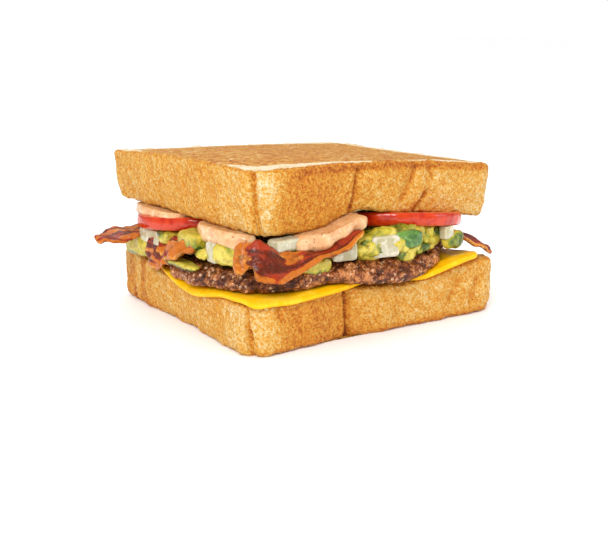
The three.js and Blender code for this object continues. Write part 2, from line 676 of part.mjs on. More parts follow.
const FINISH = {
  toast: new THREE.MeshStandardMaterial({ color: 0xd6a056, roughness: 0.85, metalness: 0 }),
  cheese: new THREE.MeshStandardMaterial({ color: 0xf8c524, roughness: 0.35, metalness: 0 }),
  patty: new THREE.MeshStandardMaterial({ color: 0x6b4228, roughness: 0.5, metalness: 0 }),
  bacon: new THREE.MeshStandardMaterial({ color: 0xa83c1c, roughness: 0.4, metalness: 0 }),
  tomato: new THREE.MeshStandardMaterial({ color: 0xe04428, roughness: 0.25, metalness: 0 }),
  avocado: new THREE.MeshStandardMaterial({ color: 0xb9c552, roughness: 0.45, metalness: 0 }),
  onion: new THREE.MeshStandardMaterial({ color: 0xe6e6d2, roughness: 0.3, metalness: 0 }),
  chile: new THREE.MeshStandardMaterial({ color: 0x2c7a3c, roughness: 0.3, metalness: 0 }),
  sauce: new THREE.MeshStandardMaterial({ color: 0xf2cda4, roughness: 0.4, metalness: 0 }),
};

// ---------- assembly ----------

const burger = new THREE.Group();

/** Adds one named piece. */
function addPiece(name, geometry, material) {
  const mesh = new THREE.Mesh(geometry, material);
  mesh.name = name;
  burger.add(mesh);
}

// Each piece is cut clear of the firmer ones beside it, which are made a little larger for that.
const firmer = [toast(TOP_SLICE, CONTACT_GAP), patty(CONTACT_GAP)];

addPiece('bottom_toast', toast(BOTTOM_SLICE), FINISH.toast);
addPiece('top_toast', toast(TOP_SLICE), FINISH.toast);
addPiece('cheese_slice', cheese(), FINISH.cheese);
addPiece('beef_patty', patty(), FINISH.patty);
for (const [name, slice] of Object.entries(TOMATOES)) {
  addPiece(name, carve(tomato(slice), firmer), FINISH.tomato);
  firmer.push(tomato(slice, CONTACT_GAP));
}
for (const [name, strip] of Object.entries(BACON)) {
  addPiece(name, carve(bacon(strip), firmer), FINISH.bacon);
  firmer.push(bacon(strip, CONTACT_GAP));
}
for (const [name, piece] of Object.entries({ ...CHOPPED, ...SAUCE })) {
  addPiece(name, carve(lump(piece), firmer), FINISH[name.split('_')[0]]);
  firmer.push(lump(piece, CONTACT_GAP));
}
addPiece('avocado_mash', carve(mashSlab(), firmer), FINISH.avocado);

export default burger;
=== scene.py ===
"""Bacon avocado burger between two thick slices of toast, dressed for rendering.

Every size below is in millimetres and becomes metres when a mesh is made. Each piece stands in the place of
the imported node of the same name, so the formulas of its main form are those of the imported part, with fine
relief added.
"""

import logging
import math
from dataclasses import dataclass, field
from enum import Enum

import bpy
import numpy as np
from mathutils import Matrix, Vector


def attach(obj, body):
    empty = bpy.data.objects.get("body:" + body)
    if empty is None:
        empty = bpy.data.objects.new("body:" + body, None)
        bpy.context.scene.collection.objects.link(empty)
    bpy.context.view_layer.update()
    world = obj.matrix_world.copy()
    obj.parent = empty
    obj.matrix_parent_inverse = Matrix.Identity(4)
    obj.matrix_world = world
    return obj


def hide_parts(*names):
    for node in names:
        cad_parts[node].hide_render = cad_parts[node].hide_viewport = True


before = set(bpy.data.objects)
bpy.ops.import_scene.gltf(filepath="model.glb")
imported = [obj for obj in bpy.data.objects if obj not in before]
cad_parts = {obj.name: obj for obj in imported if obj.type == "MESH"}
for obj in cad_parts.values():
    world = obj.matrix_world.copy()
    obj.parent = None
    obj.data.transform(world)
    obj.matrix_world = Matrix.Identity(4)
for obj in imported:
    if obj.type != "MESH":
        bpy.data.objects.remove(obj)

logging.basicConfig(level=logging.INFO, format="%(message)s")
log = logging.getLogger("burger")

Array = np.ndarray
Material = bpy.types.Material
Node = bpy.types.Node
NodeTree = bpy.types.NodeTree
Object = bpy.types.Object
Socket = bpy.types.NodeSocket

MM = 0.001
PER_MM = 1000.0
BODY = "root"

# metres
NEAREST_SEEN = 0.01
FLOOR_HALF = 4.0

# ------------------------ shared sizes of the burger

SLICE_HALF_X = 59.0
SLICE_HALF_Y = 56.0
SLICE_CORNER = 9.0
SLICE_BULGE = 0.6
BOTTOM_THICKNESS = 19.5
CHEESE_THICKNESS = 2.2
PATTY_THICKNESS = 7.2
TOMATO_THICKNESS = 5.3
BACON_THICKNESS = 1.9
CONTACT_GAP = 0.45
TOP_EDGE_ROUND = 1.7
LOWER_EDGE_ROUND = 2.2
PATTY_GAP = 0.7

CHEESE_BASE = CONTACT_GAP
PATTY_BASE = CHEESE_BASE + CHEESE_THICKNESS + PATTY_GAP
PATTY_TOP = PATTY_BASE + PATTY_THICKNESS
PATTY_MIDDLE = (-4.0, -2.0)
MASH_GAP = 0.6
UNDERSIDE_HEIGHT = 40.1
UNDERSIDE_SLOPE = 0.051
FRONT_LEFT_HEIGHT, FRONT_RIGHT_HEIGHT = 66.3, 59.3
BACK_LEFT_HEIGHT, BACK_RIGHT_HEIGHT = 62.8, 58.0
FRONT_CROWN, LEFT_CROWN = 2.6, 1.9

# tones of the toast, from 0 for cream crumb to the darkest brown
CRUST_TONE = 0.62
FACE_TONE = 0.73
EDGE_TONE = 0.8
FOOT_TONE = 1.02
BAND_TONE = 1.05
DARKEST_TONE = 1.3


# ------------------------ small maths


def bell(distance: Array | float, width: float) -> Array:
    """Bell curve of height 1 at 0."""
    return np.exp(-0.5 * (np.asarray(distance, float) / width) ** 2)


def ease(value: Array | float, start: float, end: float) -> Array:
    """0 before start, 1 past end, smooth between."""
    share = np.clip((np.asarray(value, float) - start) / (end - start), 0.0, 1.0)
    return share * share * (3.0 - 2.0 * share)


def mix(first: Array | float, second: Array | float, share: Array | float) -> Array:
    """first where share is 0, second where it is 1."""
    return first + (second - first) * share


def uneven(x: Array, y: Array, z: Array | float, wavelength: float) -> Array:
    """Smooth unevenness of about -1 to 1: three slanted sine waves added.

    Args:
        x: Positions along X.
        y: Positions along Y.
        z: Heights.
        wavelength: Length of the longest wave.

    Returns:
        One value for each position.
    """
    k = 2.0 * math.pi / wavelength
    return (
        0.5 * np.sin(k * (x + 0.6 * y) + 1.3)
        + 0.3 * np.sin(k * (0.8 * y - 0.5 * x + 0.9 * z) + 4.1)
        + 0.2 * np.sin(k * (1.7 * x - 1.3 * y + z) + 2.2)
    )


HASH_FACTORS = (73856093, 19349663, 83492791, 2654435761)
HASH_MIXERS = ((16, 0x7FEB352D), (15, 0x846CA68B))
HASH_RANGE = 4294967295.0


def hashed(ix: Array, iy: Array, iz: Array, seed: int) -> Array:
    """Repeatable random number from 0 to 1 for each whole-number point, by mixing its bits.

    Args:
        ix: Whole-number positions along X.
        iy: The same along Y.
        iz: The same along Z.
        seed: Number of the pattern.

    Returns:
        One number for each point.
    """
    by_x, by_y, by_z, by_seed = HASH_FACTORS
    bits = ((ix * by_x) ^ (iy * by_y) ^ (iz * by_z) ^ (seed * by_seed)).astype(np.uint32)
    for shift, factor in HASH_MIXERS:
        bits = (bits ^ (bits >> np.uint32(shift))) * np.uint32(factor)
    return (bits ^ (bits >> np.uint32(16))) / HASH_RANGE


def noise(points: Array, size: float, seed: int) -> Array:
    """Smooth noise from -1 to 1: random values at the corners of cubes, blended inside each cube.

    Args:
        points: Positions, the last axis being x, y and z.
        size: Edge of a cube.
        seed: Number of the pattern.

    Returns:
        One value for each position.
    """
    scaled = points / size
    corner = np.floor(scaled).astype(np.int64)
    part = scaled - corner
    part = part**3 * (part * (part * 6.0 - 15.0) + 10.0)
    total = np.zeros(points.shape[:-1])
    for dx in (0, 1):
        for dy in (0, 1):
            for dz in (0, 1):
                near = [part[..., i] if step else 1.0 - part[..., i] for i, step in enumerate((dx, dy, dz))]
                value = hashed(corner[..., 0] + dx, corner[..., 1] + dy, corner[..., 2] + dz, seed)
                total += near[0] * near[1] * near[2] * value
    return 2.0 * total - 1.0


def layered(points: Array, size: float, seed: int, layers: int = 3) -> Array:
    """Noise of about -1 to 1 in layers, each half the size and half the height of the one before.

    Args:
        points: Positions, the last axis being x, y and z.
        size: Edge of the first layer's cubes.
        seed: Number of the pattern.
        layers: How many layers.

    Returns:
        One value for each position.
    """
    total = np.zeros(points.shape[:-1])
    height = 1.0
    for layer in range(layers):
        total += height * noise(points, size / 2**layer, seed + layer)
        height *= 0.5
    return total / (2.0 - 2.0 * height)


def cells(points: Array, size: float, seed: int) -> tuple[Array, Array, Array]:
    """Grains packed side by side: a random seed point in each cube, and each position joins the nearest.

    Args:
        points: Positions, the last axis being x, y and z.
        size: Edge of a cube, about the width of a grain.
        seed: Number of the pattern.

    Returns:
        Distance to the nearest seed point and to the next one, both in grain widths, and the grain's own
        random number.
    """
    scaled = points / size
    home = np.floor(scaled).astype(np.int64)
    nearest = np.full(points.shape[:-1], 9.0)
    second = np.full(points.shape[:-1], 9.0)
    own = np.zeros(points.shape[:-1])
    for dx in (-1, 0, 1):
        for dy in (-1, 0, 1):
            for dz in (-1, 0, 1):
                cube = [home[..., 0] + dx, home[..., 1] + dy, home[..., 2] + dz]
                gap = [cube[axis] + hashed(*cube, seed + 11 * (axis + 1)) - scaled[..., axis]
                       for axis in range(3)]
                distance = np.sqrt(gap[0] ** 2 + gap[1] ** 2 + gap[2] ** 2)
                closer = distance < nearest
                second = np.where(closer, nearest, np.minimum(second, distance))
                own = np.where(closer, hashed(*cube, seed + 77), own)
                nearest = np.where(closer, distance, nearest)
    return nearest, second, own


def to_segment(s: Array, z: Array, start: tuple[float, float], end: tuple[float, float]) -> Array:
    """Distance from each (s, z) to the straight line between two such points."""
    ds, dz = end[0] - start[0], end[1] - start[1]
    along = np.clip(((s - start[0]) * ds + (z - start[1]) * dz) / (ds * ds + dz * dz), 0.0, 1.0)
    return np.hypot(s - start[0] - along * ds, z - start[1] - along * dz)


def smooth_curve(points: Array, t: Array, closed: bool = False) -> Array:
    """Curve through points: in each span a cubic whose end slopes come from the neighbouring points.

    The slopes are those of a centripetal Catmull-Rom curve, with knots spaced by the square root of the
    distance between points.

    Args:
        points: The points that it passes, one a row.
        t: Where to read the curve, from 0 at the first point to 1 at the last.
        closed: Whether it returns from the last point to the first.

    Returns:
        One row for each value of t.
    """
    points = np.asarray(points, float)
    count = len(points)
    spans = count if closed else count - 1
    place = np.clip(np.asarray(t, float), 0.0, 1.0) * spans
    span = np.minimum(np.floor(place).astype(int), spans - 1)
    part = (place - span)[:, None]
    if closed:
        p0, p1, p2, p3 = (points[(span + step) % count] for step in (-1, 0, 1, 2))
    else:
        padded = np.vstack([2 * points[0] - points[1], points, 2 * points[-1] - points[-2]])
        p0, p1, p2, p3 = (padded[span + step] for step in (0, 1, 2, 3))

    def knot(a: Array, b: Array) -> Array:
        """Knot distance between two rows of points."""
        return np.maximum(np.sqrt(np.linalg.norm(b - a, axis=1, keepdims=True)), 1e-3)

    k0, k1, k2 = knot(p0, p1), knot(p1, p2), knot(p2, p3)
    slope1 = ((p1 - p0) / k0 - (p2 - p0) / (k0 + k1) + (p2 - p1) / k1) * k1
    slope2 = ((p2 - p1) / k1 - (p3 - p1) / (k1 + k2) + (p3 - p2) / k2) * k1
    square, cube = part**2, part**3
    return (
        p1 * (2 * cube - 3 * square + 1)
        + slope1 * (cube - 2 * square + part)
        + p2 * (3 * square - 2 * cube)
        + slope2 * (cube - square)
    )


def unit(vectors: Array) -> Array:
    """Vectors made one long."""
    return vectors / np.maximum(np.linalg.norm(vectors, axis=-1, keepdims=True), 1e-9)


# ------------------------ meshes


def ring_normals(rings: Array) -> Array:
    """Outward direction at each point of a stack of rings: step round a ring crossed with step up."""
    around = np.roll(rings, -1, axis=1) - np.roll(rings, 1, axis=1)
    return unit(np.cross(around, np.gradient(rings, axis=0)))


def ring_faces(count: int, sides: int) -> tuple[Array, Array]:
    """Faces of a stack of rings. Its ends are fans to two middle points, numbered after the rings' points.

    Args:
        count: How many rings.
        sides: How many points in each ring.

    Returns:
        The four-sided faces and the three-sided ones.
    """
    index = np.arange(count * sides).reshape(count, sides)
    turned = np.roll(index, -1, axis=1)
    quads = np.stack([index[:-1], turned[:-1], turned[1:], index[1:]], axis=-1).reshape(-1, 4)
    first = np.full(sides, count * sides)
    last = first + 1
    fans = np.vstack([
        np.stack([turned[0], index[0], first], axis=-1),
        np.stack([index[-1], turned[-1], last], axis=-1),
    ])
    return quads, fans


def with_poles(values: Array) -> Array:
    """Values of a stack of rings in one row a point, and then the means of the two end rings."""
    flat = values.reshape(-1, *values.shape[2:])
    return np.concatenate([flat, [values[0].mean(axis=0)], [values[-1].mean(axis=0)]])


def mesh_of(name: str, points: Array, quads: Array, fans: Array, marks: dict[str, Array]) -> bpy.types.Mesh:
    """Smooth mesh of points in millimetres; its faces are turned to point out.

    Args:
        name: Name of the mesh.
        points: One row a point.
        quads: Four-sided faces.
        fans: Three-sided faces.
        marks: Named values, one for each point, that the finish reads.

    Returns:
        The mesh, in metres.
    """
    triangles = np.vstack([quads[:, [0, 1, 2]], quads[:, [0, 2, 3]], fans])
    a, b, c = (points[triangles[:, i]] for i in range(3))
    if np.einsum("ij,ij->i", a, np.cross(b, c)).sum() < 0:
        quads, fans = quads[:, ::-1], fans[:, ::-1]
    mesh = bpy.data.meshes.new(name)
    mesh.from_pydata((points * MM).tolist(), [], quads.tolist() + fans.tolist())
    mesh.shade_smooth()
    for mark, values in marks.items():
        layer = mesh.attributes.new(mark, "FLOAT", "POINT")
        layer.data.foreach_set("value", np.asarray(values, np.float32))
    mesh.update()
    return mesh


def show(name: str, data: bpy.types.ID) -> Object:
    """Object of a mesh, a light or a camera, put in the scene."""
    obj = bpy.data.objects.new(name, data)
    bpy.context.scene.collection.objects.link(obj)
    return obj


def ring_piece(name: str, rings: Array, marks: dict[str, Array] | None = None) -> Object:
    """Object of a stack of rings, closed at both ends, with its named values.

    Args:
        name: Name of the piece.
        rings: Points, by ring and side.
        marks: Named values that the finish reads, by ring and side, if it reads any.

    Returns:
        The object.
    """
    quads, fans = ring_faces(*rings.shape[:2])
    values = {mark: with_poles(value) for mark, value in (marks or {}).items()}
    mesh = mesh_of(name, with_poles(rings), quads, fans, values)
    return show(name, mesh)


def settle(obj: Object, material: Material, node: str | None = None) -> Object:
    """Gives a finished piece its material and its place in the frame.

    Args:
        obj: The piece.
        material: Its finish.
        node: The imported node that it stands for, if any.

    Returns:
        The same piece.
    """
    obj.data.materials.append(material)
    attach(obj, BODY)
    if node:
        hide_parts(node)
    return obj


# ------------------------ node trees


def srgb(red: float, green: float, blue: float) -> tuple[float, float, float, float]:
    """Colour of a 0 to 255 picture value in the linear numbers that shaders use."""
    share = [value / 255.0 for value in (red, green, blue)]
    line = [v / 12.92 if v <= 0.04045 else ((v + 0.055) / 1.055) ** 2.4 for v in share]
    return line[0], line[1], line[2], 1.0


# sockets of the Mix node that blends colours, which share their names with its other kinds
MIX_SHARE, MIX_FIRST, MIX_SECOND, MIX_RESULT = 0, 6, 7, 2


class NodeDesk:
    """Adds nodes to one node tree and joins them."""

    def __init__(self, tree: NodeTree) -> None:
        """Takes the tree to work in."""
        self.tree = tree

    def add(self, kind: str, inputs: dict | None = None, **settings: object) -> Node:
        """Adds one node.

        Args:
            kind: The node's type name.
            inputs: Values or sockets for its inputs, by name or number.
            settings: Properties of the node.

        Returns:
            The node.
        """
        node = self.tree.nodes.new(kind)
        for name, value in settings.items():
            setattr(node, name, value)
        self.feed(node, inputs or {})
        return node

    def feed(self, node: Node, inputs: dict) -> None:
        """Gives a node its inputs: a value goes on the socket itself, and a socket is linked.

        Args:
            node: The node.
            inputs: Values or sockets for its inputs, by name or number.
        """
        for key, value in inputs.items():
            if isinstance(value, Socket):
                self.tree.links.new(value, node.inputs[key])
            else:
                node.inputs[key].default_value = value

    def mark(self, name: str) -> Socket:
        """One of the mesh's named values."""
        return self.add("ShaderNodeAttribute", attribute_name=name).outputs["Fac"]

    def place(self) -> Socket:
        """The object's own coordinates, in metres."""
        return self.add("ShaderNodeTexCoord").outputs["Object"]

    def maths(self, operation: str, first: Socket | float, second: Socket | float = 0.0) -> Socket:
        """Result of one operation on two numbers."""
        return self.add("ShaderNodeMath", {0: first, 1: second}, operation=operation).outputs[0]

    def span(self, value: Socket, start: float, end: float, low: float = 0.0, high: float = 1.0) -> Socket:
        """Value moved smoothly from the range start to end into the range low to high."""
        inputs = {"Value": value, "From Min": start, "From Max": end, "To Min": low, "To Max": high}
        return self.add("ShaderNodeMapRange", inputs, interpolation_type="SMOOTHSTEP").outputs["Result"]

    def blend(self, share: Socket | float, first: Socket | tuple, second: Socket | tuple) -> Socket:
        """Colour first where share is 0, second where it is 1."""
        inputs = {MIX_SHARE: share, MIX_FIRST: first, MIX_SECOND: second}
        return self.add("ShaderNodeMix", inputs, data_type="RGBA").outputs[MIX_RESULT]

    def ramp(self, value: Socket, stops: list[tuple[float, tuple]]) -> Socket:
        """Colour looked up along a row of stops.

        Args:
            value: What is looked up.
            stops: Position and colour of each stop.

        Returns:
            The colour.
        """
        node = self.add("ShaderNodeValToRGB", {"Fac": value})
        elements = node.color_ramp.elements
        while len(elements) < len(stops):
            elements.new(0.5)
        for element, (position, colour) in zip(elements, stops):
            element.position = position
            element.color = colour
        return node.outputs["Color"]

    def noise(self, size: float, detail: float = 3.0, roughness: float = 0.55,
              where: Socket | None = None) -> Socket:
        """Soft noise of about 0.3 to 0.7, whose blots are about size millimetres wide."""
        inputs = {"Scale": PER_MM / size, "Detail": detail, "Roughness": roughness}
        inputs["Vector"] = where or self.place()
        return self.add("ShaderNodeTexNoise", inputs).outputs["Fac"]

    def grains(self, size: float, where: Socket | None = None, feature: str = "F1") -> Node:
        """Packed grains about size millimetres wide."""
        inputs = {"Scale": PER_MM / size, "Vector": where or self.place()}
        return self.add("ShaderNodeTexVoronoi", inputs, feature=feature)

    def stretch(self, scale: tuple[float, float, float], turn: tuple[float, float, float]) -> Socket:
        """Object coordinates in which patterns come out longer by scale, along turned axes."""
        inputs = {"Vector": self.place(), "Scale": scale, "Rotation": turn}
        return self.add("ShaderNodeMapping", inputs, vector_type="TEXTURE").outputs["Vector"]

    def bump(self, height: Socket, depth: float, strength: float = 1.0) -> Socket:
        """Normal of a surface raised by height times depth, in millimetres.

        Args:
            height: Relief.
            depth: Depth of a relief of 1, in millimetres.
            strength: Share of the effect.

        Returns:
            The normal.
        """
        inputs = {"Height": height, "Distance": depth * MM, "Strength": strength}
        return self.add("ShaderNodeBump", inputs).outputs["Normal"]

    def use(self, group: NodeTree, inputs: dict) -> Node:
        """Places a shared group with its own values.

        Args:
            group: The shared group.
            inputs: Values or sockets for its inputs, by name.

        Returns:
            The group's node.
        """
        return self.add("ShaderNodeGroup", inputs, node_tree=group)


def group_tree(name: str, inputs: list[tuple[str, str, object]], outputs: list[tuple[str, str]]
               ) -> tuple[NodeTree, NodeDesk, Node, Node]:
    """Starts a shader node group.

    Args:
        name: Name of the group.
        inputs: Name, socket type and first value of each input.
        outputs: Name and socket type of each output.

    Returns:
        The group's tree, its desk, its input node and its output node.
    """
    tree = bpy.data.node_groups.new(name, "ShaderNodeTree")
    for label, kind, value in inputs:
        socket = tree.interface.new_socket(label, in_out="INPUT", socket_type=kind)
        if value is not None:
            socket.default_value = value
    for label, kind in outputs:
        tree.interface.new_socket(label, in_out="OUTPUT", socket_type=kind)
    desk = NodeDesk(tree)
    return tree, desk, desk.add("NodeGroupInput"), desk.add("NodeGroupOutput")


NUMBER = "NodeSocketFloat"
TINT = "NodeSocketColor"


class Effects:
    """Effects that several finishes share, each a node group that is built once."""

    def __init__(self) -> None:
        """Builds the groups."""
        self.mottle = self._mottle()
        self.flecks = self._flecks()
        self.wet = self._wet()

    @staticmethod
    def _mottle() -> NodeTree:
        """Uneven colour: coarse and fine noise darken and lighten a base colour between two others.

        Returns:
            The group.
        """
        tree, desk, given, result = group_tree(
            "Mottle",
            [("Base", TINT, (0.5, 0.5, 0.5, 1)), ("Dark", TINT, (0, 0, 0, 1)), ("Light", TINT, (1, 1, 1, 1)),
             ("Coarse Scale", NUMBER, 200.0), ("Fine Scale", NUMBER, 900.0), ("Amount", NUMBER, 0.5)],
            [("Color", TINT), ("Mask", NUMBER)],
        )
        place = desk.place()
        coarse = desk.add("ShaderNodeTexNoise", {"Vector": place, "Scale": given.outputs["Coarse Scale"],
                                                 "Detail": 3.0}).outputs["Fac"]
        fine = desk.add("ShaderNodeTexNoise", {"Vector": place, "Scale": given.outputs["Fine Scale"],
                                               "Detail": 2.0}).outputs["Fac"]
        both = desk.maths("MULTIPLY", desk.maths("ADD", coarse, fine), 0.5)
        darker = desk.maths("MULTIPLY", desk.span(both, 0.52, 0.36), given.outputs["Amount"])
        lighter = desk.maths("MULTIPLY", desk.span(both, 0.5, 0.66), given.outputs["Amount"])
        colour = desk.blend(darker, given.outputs["Base"], given.outputs["Dark"])
        colour = desk.blend(lighter, colour, given.outputs["Light"])
        tree.links.new(colour, result.inputs["Color"])
        tree.links.new(both, result.inputs["Mask"])
        return tree

    @staticmethod
    def _flecks() -> NodeTree:
        """Small scattered specks: the middles of some of the grains of a packed pattern.

        Returns:
            The group.
        """
        tree, desk, given, result = group_tree(
            "Flecks",
            [("Scale", NUMBER, 600.0), ("Size", NUMBER, 0.3), ("Share", NUMBER, 0.3)],
            [("Mask", NUMBER)],
        )
        grains = desk.add("ShaderNodeTexVoronoi", {"Vector": desk.place(), "Scale": given.outputs["Scale"]})
        near = desk.maths("SUBTRACT", given.outputs["Size"], grains.outputs["Distance"])
        inside = desk.span(near, 0.0, 0.08)
        chosen = desk.maths("LESS_THAN", desk.add("ShaderNodeSeparateColor", {
            "Color": grains.outputs["Color"]}).outputs["Red"], given.outputs["Share"])
        tree.links.new(desk.maths("MULTIPLY", inside, chosen), result.inputs["Mask"])
        return tree

    @staticmethod
    def _wet() -> NodeTree:
        """Roughness of a moist surface: smooth wet patches between duller ones.

        Returns:
            The group.
        """
        tree, desk, given, result = group_tree(
            "Wet Patches",
            [("Scale", NUMBER, 300.0), ("Wet", NUMBER, 0.15), ("Dull", NUMBER, 0.5)],
            [("Roughness", NUMBER)],
        )
        patch = desk.add("ShaderNodeTexNoise", {"Vector": desk.place(), "Scale": given.outputs["Scale"],
                                                "Detail": 2.0}).outputs["Fac"]
        share = desk.span(patch, 0.4, 0.6)
        value = desk.add("ShaderNodeMapRange", {"Value": share, "To Min": given.outputs["Wet"],
                                                "To Max": given.outputs["Dull"]}).outputs["Result"]
        tree.links.new(value, result.inputs["Roughness"])
        return tree


def new_material(name: str) -> tuple[Material, NodeDesk, Node]:
    """Starts a material.

    Args:
        name: Name of the material.

    Returns:
        The material, its desk and its shader node.
    """
    material = bpy.data.materials.new(name)
    material.use_nodes = True
    desk = NodeDesk(material.node_tree)
    return material, desk, material.node_tree.nodes["Principled BSDF"]


# ------------------------ finishes


@dataclass(frozen=True)
class ToastFinish:
    """Toasted bread: cream where the mark 'tone' is 0, darker brown as it grows, with a granular surface."""

    darkest: float = DARKEST_TONE
    stops: tuple = (
        (0.00, srgb(236, 218, 184)),
        (0.20, srgb(223, 188, 124)),
        (0.35, srgb(217, 171, 86)),
        (0.50, srgb(212, 150, 52)),
        (0.68, srgb(202, 130, 38)),
        (0.84, srgb(188, 108, 28)),
        (1.00, srgb(168, 86, 22)),
        (1.30, srgb(100, 46, 14)),
    )
    grain_size: float = 0.95
    fine_size: float = 0.5
    patch_size: float = 3.4
    streak_size: float = 1.3
    blot_size: float = 2.6
    fibre_stretch: tuple = (1.0, 1.0, 3.4)
    fibre_slant: tuple = (math.radians(-32), math.radians(-32), 0.0)

    def make(self, effects: Effects) -> Material:
        """Builds the material.

        Args:
            effects: The shared effects; not used.

        Returns:
            The material.
        """
        material, desk, shader = new_material("toast")
        grain = desk.noise(self.grain_size, 3.0, 0.65)
        patch = desk.noise(self.patch_size, 3.0, 0.6)
        streak = desk.noise(self.streak_size, 2.0, 0.6, desk.stretch(self.fibre_stretch, self.fibre_slant))
        fine = desk.noise(self.fine_size, 2.0, 0.6)
        blots = desk.noise(self.blot_size, 3.0, 0.6)
        # paler where the grain and the slanting streaks stand out in the bump, darker where they sink: random
        # tone with painted light and shade on the relief
        tone = desk.maths("ADD", desk.mark("tone"), desk.span(grain, 0.35, 0.65, -0.26, 0.11))
        tone = desk.maths("ADD", tone, desk.span(fine, 0.35, 0.65, -0.14, 0.06))
        tone = desk.maths("ADD", tone, desk.span(patch, 0.3, 0.7, -0.05, 0.05))
        tone = desk.maths("ADD", tone, desk.span(streak, 0.3, 0.7, -0.1, 0.1))
        on_face = desk.maths("MULTIPLY", desk.mark("face"), desk.span(blots, 0.35, 0.65, -0.2, 0.2))
        share = desk.maths("DIVIDE", desk.maths("ADD", tone, on_face), self.darkest)
        colour = desk.ramp(share, [(position / self.darkest, stop) for position, stop in self.stops])
        height = desk.maths("SUBTRACT", desk.maths("MULTIPLY", streak, -1.5), grain)
        normal = desk.bump(height, 0.7, 1.0)
        rough = desk.span(grain, 0.3, 0.7, 0.45, 0.7)
        desk.feed(shader, {"Base Color": colour, "Roughness": rough, "Normal": normal})
        shader.inputs["Specular IOR Level"].default_value = 0.25
        return material


@dataclass(frozen=True)
class CheeseFinish:
    """Melted yellow cheese: even and soft, with faint paler swirls and a satin gloss."""

    base: tuple = srgb(248, 188, 10)
    dark: tuple = srgb(242, 172, 10)
    light: tuple = srgb(255, 214, 70)

    def make(self, effects: Effects) -> Material:
        """Builds the material.

        Args:
            effects: The shared effects.

        Returns:
            The material.
        """
        material, desk, shader = new_material("cheese")
        mottle = desk.use(effects.mottle, {"Base": self.base, "Dark": self.dark, "Light": self.light,
                                           "Coarse Scale": 60.0, "Fine Scale": 260.0, "Amount": 0.6})
        rough = desk.use(effects.wet, {"Scale": 90.0, "Wet": 0.25, "Dull": 0.42}).outputs["Roughness"]
        normal = desk.bump(desk.noise(2.6, 2.0), 0.1, 0.5)
        desk.feed(shader, {"Base Color": mottle.outputs["Color"], "Roughness": rough, "Normal": normal,
                           "Subsurface Weight": 0.25, "Subsurface Scale": 0.0025})
        shader.inputs["Subsurface Radius"].default_value = (1.0, 0.6, 0.15)
        shader.inputs["Specular IOR Level"].default_value = 0.12
        return material


@dataclass(frozen=True)
class BeefFinish:
    """Browned coarse mince: each grain its own brown, painted lighter where it swells out, with painted shade
    in the crevices, wet highlights and painted pale glints.
    """

    # painted shade: the near-black brown painted into the crevices
    crevice_shade: tuple = srgb(46, 20, 8)
    deep: tuple = srgb(84, 36, 10)
    middle: tuple = srgb(138, 66, 26)
    pale: tuple = srgb(204, 132, 74)
    painted_glint: tuple = srgb(240, 196, 156)

    def make(self, effects: Effects) -> Material:
        """Builds the material.

        Args:
            effects: The shared effects.

        Returns:
            The material.
        """
        material, desk, shader = new_material("beef")
        own = desk.maths("ADD", desk.mark("grain"), desk.span(desk.noise(0.7, 3.0), 0.3, 0.7, -0.4, 0.4))
        colour = desk.ramp(own, [(0.0, self.deep), (0.5, self.middle), (1.0, self.pale)])
        # painted shade: the mince is painted darker in its crevices
        colour = desk.blend(desk.mark("crevice_shade"), colour, self.crevice_shade)
        # painted highlight: pale specks painted into the colour as glints
        flecks = desk.use(effects.flecks, {"Scale": PER_MM / 1.6, "Size": 0.4, "Share": 0.3})
        painted_glints = flecks.outputs["Mask"]
        colour = desk.blend(desk.maths("MULTIPLY", painted_glints, 0.55), colour, self.painted_glint)
        rough = desk.use(effects.wet, {"Scale": 500.0, "Wet": 0.12, "Dull": 0.45}).outputs["Roughness"]
        fine = desk.grains(1.1).outputs["Distance"]
        normal = desk.bump(desk.maths("ADD", desk.noise(0.7, 3.0), fine), 0.5, 0.9)
        desk.feed(shader, {"Base Color": colour, "Roughness": rough, "Normal": normal, "Coat Weight": 0.1,
                           "Coat Roughness": 0.15})
        shader.inputs["Specular IOR Level"].default_value = 0.35
        return material


@dataclass(frozen=True)
class BaconFinish:
    """Crisp bacon: red-brown lean and orange fat in streaks, darker where it is charred, glossy with fat."""

    fat: tuple = srgb(190, 102, 24)
    pale_fat: tuple = srgb(222, 154, 66)
    lean: tuple = srgb(160, 50, 20)
    dark_lean: tuple = srgb(94, 32, 10)
    char: tuple = srgb(44, 16, 10)

    def make(self, effects: Effects) -> Material:
        """Builds the material.

        Args:
            effects: The shared effects.

        Returns:
            The material.
        """
        material, desk, shader = new_material("bacon")
        uneven_streak = desk.span(desk.noise(0.9, 3.0), 0.3, 0.7, -0.2, 0.2)
        streak = desk.maths("ADD", desk.mark("streak"), uneven_streak)
        fat = desk.blend(desk.span(streak, 0.1, 0.6), self.fat, self.pale_fat)
        lean = desk.blend(desk.span(streak, -0.35, 0.35), self.lean, self.dark_lean)
        share = desk.maths("ADD", desk.mark("lean"), desk.span(desk.noise(0.8, 2.0), 0.3, 0.7, -0.12, 0.12))
        colour = desk.blend(desk.span(share, 0.3, 0.7), fat, lean)
        uneven_char = desk.span(desk.noise(2.2, 3.0), 0.35, 0.65, -0.15, 0.15)
        burnt = desk.maths("ADD", desk.mark("char"), uneven_char)
        colour = desk.blend(desk.span(burnt, 0.2, 0.9), colour, self.char)
        rough = desk.use(effects.wet, {"Scale": 420.0, "Wet": 0.16, "Dull": 0.45}).outputs["Roughness"]
        normal = desk.bump(desk.noise(1.3, 3.0), 0.4, 0.8)
        desk.feed(shader, {"Base Color": colour, "Roughness": rough, "Normal": normal, "Coat Weight": 0.1,
                           "Coat Roughness": 0.1, "Subsurface Weight": 0.04, "Subsurface Scale": 0.001})
        shader.inputs["Specular IOR Level"].default_value = 0.25
        return material


